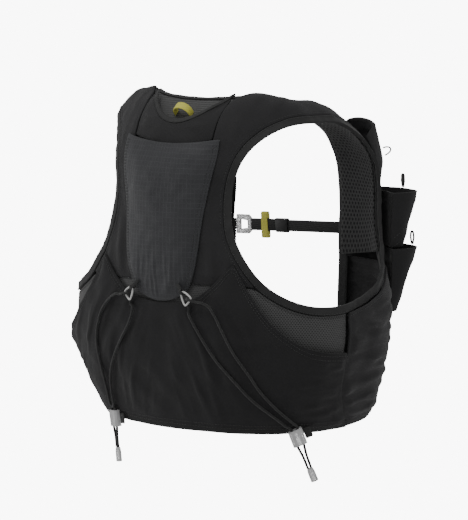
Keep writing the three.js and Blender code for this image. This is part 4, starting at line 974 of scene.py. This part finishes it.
arm_edge = edge_line(ARM_OPENING, True)
arm_edge = np.concatenate([arm_edge, arm_edge[:1]])
neck_edge = edge_line(NECK_OPENING, False)
back_seam = beside_reservoir(np.linspace(0.035, 0.53, 60), 0.007)
under_arm = arm_edge[(np.abs(turn_of(arm_edge) - 90) < 12) & (arm_edge[:, 2] < -0.15)]
heights = np.linspace(under_arm[:, 2].mean() - 0.007, -HEM_DROP + 0.0005, 40)
side_seam = around(read(SIDE_SEAM, 1, -heights / VEST_HEIGHT), heights)
for side in BOTH:
    for name, line, near, far, depth in (
        ("arm_seam_tape", arm_edge, -0.0050, -0.0185, TAPE_DEPTH),
        ("neck_seam_tape", neck_edge, -0.0004, -0.0135, TAPE_DEPTH),
        ("back_seam_tape", back_seam, -0.008, 0.008, TAPE_DEPTH),
        ("side_seam_tape", side_seam, -0.007, 0.007, SIDE_TAPE_DEPTH),
    ):
        seam_tape(f"{name}_{side}", on_side(line, side), near, far, depth)

# Rows of stitches: arm and neck bindings, reservoir pocket, pocket mouths, then the hem
rows = [aside(arm_edge, -(BINDING_WIDTH - 0.0014)), aside(arm_edge, -(BINDING_WIDTH + 0.0030)),
        aside(neck_edge, -(NECK_BINDING_WIDTH - 0.0008))]
down = np.linspace(RESERVOIR_SHAPE[0, 0], RESERVOIR_SHAPE[-1, 0], 60)
rows += [beside_reservoir(down, inset) for inset in (0.0022, 0.0052)]
turn = np.linspace(26, 88, 90)
rows += [around(turn, -read(POCKET_MOUTH, 1, turn) * VEST_HEIGHT - lower)
         for lower in (0.0035, 0.0075)]
rows += [on_right(row) for row in rows]
turn = np.linspace(-150, 150, 420)
rows += [around(turn, np.full(len(turn), -HEM_DROP + rise)) for rise in (0.006, 0.010)]
stitch_rows("seam_stitches", [part for row in rows for part in unbroken(draped(row))], "thread")


# ---------------------------------------------------------------------------------------------
# Elastic cords
# ---------------------------------------------------------------------------------------------

def cord_tube(name, line, radius):
    """A round tube along a line, with coordinates round it and along it in metres."""
    along = np.gradient(line, axis=0)
    along /= np.linalg.norm(along, axis=1, keepdims=True)
    start = np.cross(along[0], [0.0, 0.0, 1.0])
    across = [start / np.linalg.norm(start)]
    for way in along[1:]:
        side_way = across[-1] - way * (across[-1] @ way)
        across.append(side_way / np.linalg.norm(side_way))
    across = np.array(across)
    other = np.cross(along, across)
    angle = 2 * math.pi * np.arange(CORD_SIDES) / CORD_SIDES
    ring = (line[:, None] + radius * (np.cos(angle)[None, :, None] * across[:, None]
                                      + np.sin(angle)[None, :, None] * other[:, None]))
    count = len(line)
    run = np.concatenate([[0], np.cumsum(np.linalg.norm(np.diff(line, axis=0), axis=1))])
    faces, flat = [], []
    wrap = 2 * math.pi * radius
    for i in range(count - 1):
        here, ahead = i * CORD_SIDES, (i + 1) * CORD_SIDES
        for k in range(CORD_SIDES):
            beside = (k + 1) % CORD_SIDES
            near, far = wrap * k / CORD_SIDES, wrap * (k + 1) / CORD_SIDES
            faces.append((here + k, here + beside, ahead + beside, ahead + k))
            flat += [(near, run[i]), (far, run[i]), (far, run[i + 1]), (near, run[i + 1])]
    for i, order in ((0, range(CORD_SIDES - 1, -1, -1)), (count - 1, range(CORD_SIDES))):
        faces.append(tuple(i * CORD_SIDES + k for k in order))
        flat += [(0.0, run[i])] * CORD_SIDES
    mesh = bpy.data.meshes.new(name)
    mesh.from_pydata(ring.reshape(-1, 3).tolist(), [], faces)
    layer = mesh.uv_layers.new(name="cloth")
    layer.data.foreach_set("uv", np.array(flat).ravel())
    return add_object(name, mesh)


def over_cloth(line, clear):
    """Evens out the free part of a cord, and lifts what the folds would cover."""
    free = (smooth(-line[:, 2], 0.228, 0.245) * smooth(line[:, 2], -0.334, -0.318))[:, None]
    width = 2 * CALM_REACH + 1
    window = np.hanning(width)[:, None]
    longer = np.pad(line, ((CALM_REACH, CALM_REACH), (0, 0)), mode="edge")
    calm = np.array([(longer[i:i + width] * window).sum(axis=0) for i in range(len(line))])
    line = line + free * (calm / window.sum() - line)
    lift = np.zeros(len(line))
    ways = outward(line)
    for i, (point, way) in enumerate(zip(line, ways)):
        if point[2] < LOCK_HEIGHT:
            continue
        hit = skin.ray_cast(Vector(point + way * 0.012), Vector(-way), 0.016)
        if hit[0] is not None:
            lift[i] = max(clear - (point - np.array(hit[0])) @ way, 0)
    highest = np.array([lift[max(i - LIFT_REACH, 0):i + LIFT_REACH + 1].max()
                        for i in range(len(lift))])
    spread = 2 * LIFT_REACH + 1
    even = np.convolve(np.pad(highest, LIFT_REACH, mode="edge"), np.ones(spread) / spread,
                       mode="valid")
    return line + ways * even[:, None]


for side in BOTH:
    line = over_cloth(line_through(CORD_POINTS[side]), CORD_DIAMETER / 2 + CORD_GAP)
    cord = cord_tube(f"elastic_shock_cord_{side}", line, CORD_DIAMETER / 2)
    finished(cord, "cord")
    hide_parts(f"elastic_cord_{side}")
    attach(cord, "root")


# ---------------------------------------------------------------------------------------------
# Floor and light
# ---------------------------------------------------------------------------------------------

STUDIO_STRENGTH = 0.42
SCREEN_STRENGTH = 9.0       # the white screen behind the vest
SCREEN_SPAN = (12, 7.5)     # degrees from the middle of the picture between which it fades in
FLOOR_HALF, FLOOR_HEIGHT = 1.5, -1.2
LIT_POINT = Vector((0.0, 0.05, -0.18))

world = bpy.data.worlds.new("white_studio")
world.use_nodes = True
bpy.context.scene.world = world
studio = world.node_tree
ambient = studio.nodes["Background"]
ambient.inputs["Color"].default_value = (1.0, 1.0, 1.0, 1.0)
sky = studio.nodes.new("ShaderNodeTexCoord")
toward = studio.nodes.new("ShaderNodeVectorMath")
toward.operation = "DOT_PRODUCT"
toward.inputs[1].default_value = (aim - camera.location).normalized()
screen = studio.nodes.new("ShaderNodeMapRange")
screen.interpolation_type = "SMOOTHSTEP"
outer, inner = (math.cos(math.radians(angle)) for angle in SCREEN_SPAN)
for key, value in (("From Min", outer), ("From Max", inner), ("To Min", STUDIO_STRENGTH),
                   ("To Max", SCREEN_STRENGTH)):
    screen.inputs[key].default_value = value
studio.links.new(sky.outputs["Generated"], toward.inputs[0])
studio.links.new(toward.outputs["Value"], screen.inputs["Value"])
studio.links.new(screen.outputs[0], ambient.inputs["Strength"])

floor_mesh = bpy.data.meshes.new("floor")
floor_mesh.from_pydata([(x * FLOOR_HALF, y * FLOOR_HALF, FLOOR_HEIGHT)
                        for x, y in ((-1, -1), (1, -1), (1, 1), (-1, 1))], [], [(0, 1, 2, 3)])
floor = add_object("floor", floor_mesh)
floor_finish = Finish("floor_white")
floor_mesh.materials.append(floor_finish.done(
    floor_finish.mixed(floor_finish.cloud(1.5), tone(0.90), tone(0.93)), 0.9))

for name, place, power, size in (
    ("high_light", (0.0, 1.1, 2.0), 18.0, 1.2),
    ("side_light", (-2.4, 0.2, 0.7), 3.0, 1.4),
    ("far_light", (2.2, 1.4, -0.2), 9.5, 1.0),
):
    lamp = bpy.data.lights.new(name, "AREA")
    lamp.energy, lamp.size = power, size
    light = bpy.data.objects.new(name, lamp)
    light.location = place
    light.rotation_euler = (LIT_POINT - light.location).to_track_quat("-Z", "Y").to_euler()
    bpy.context.collection.objects.link(light)
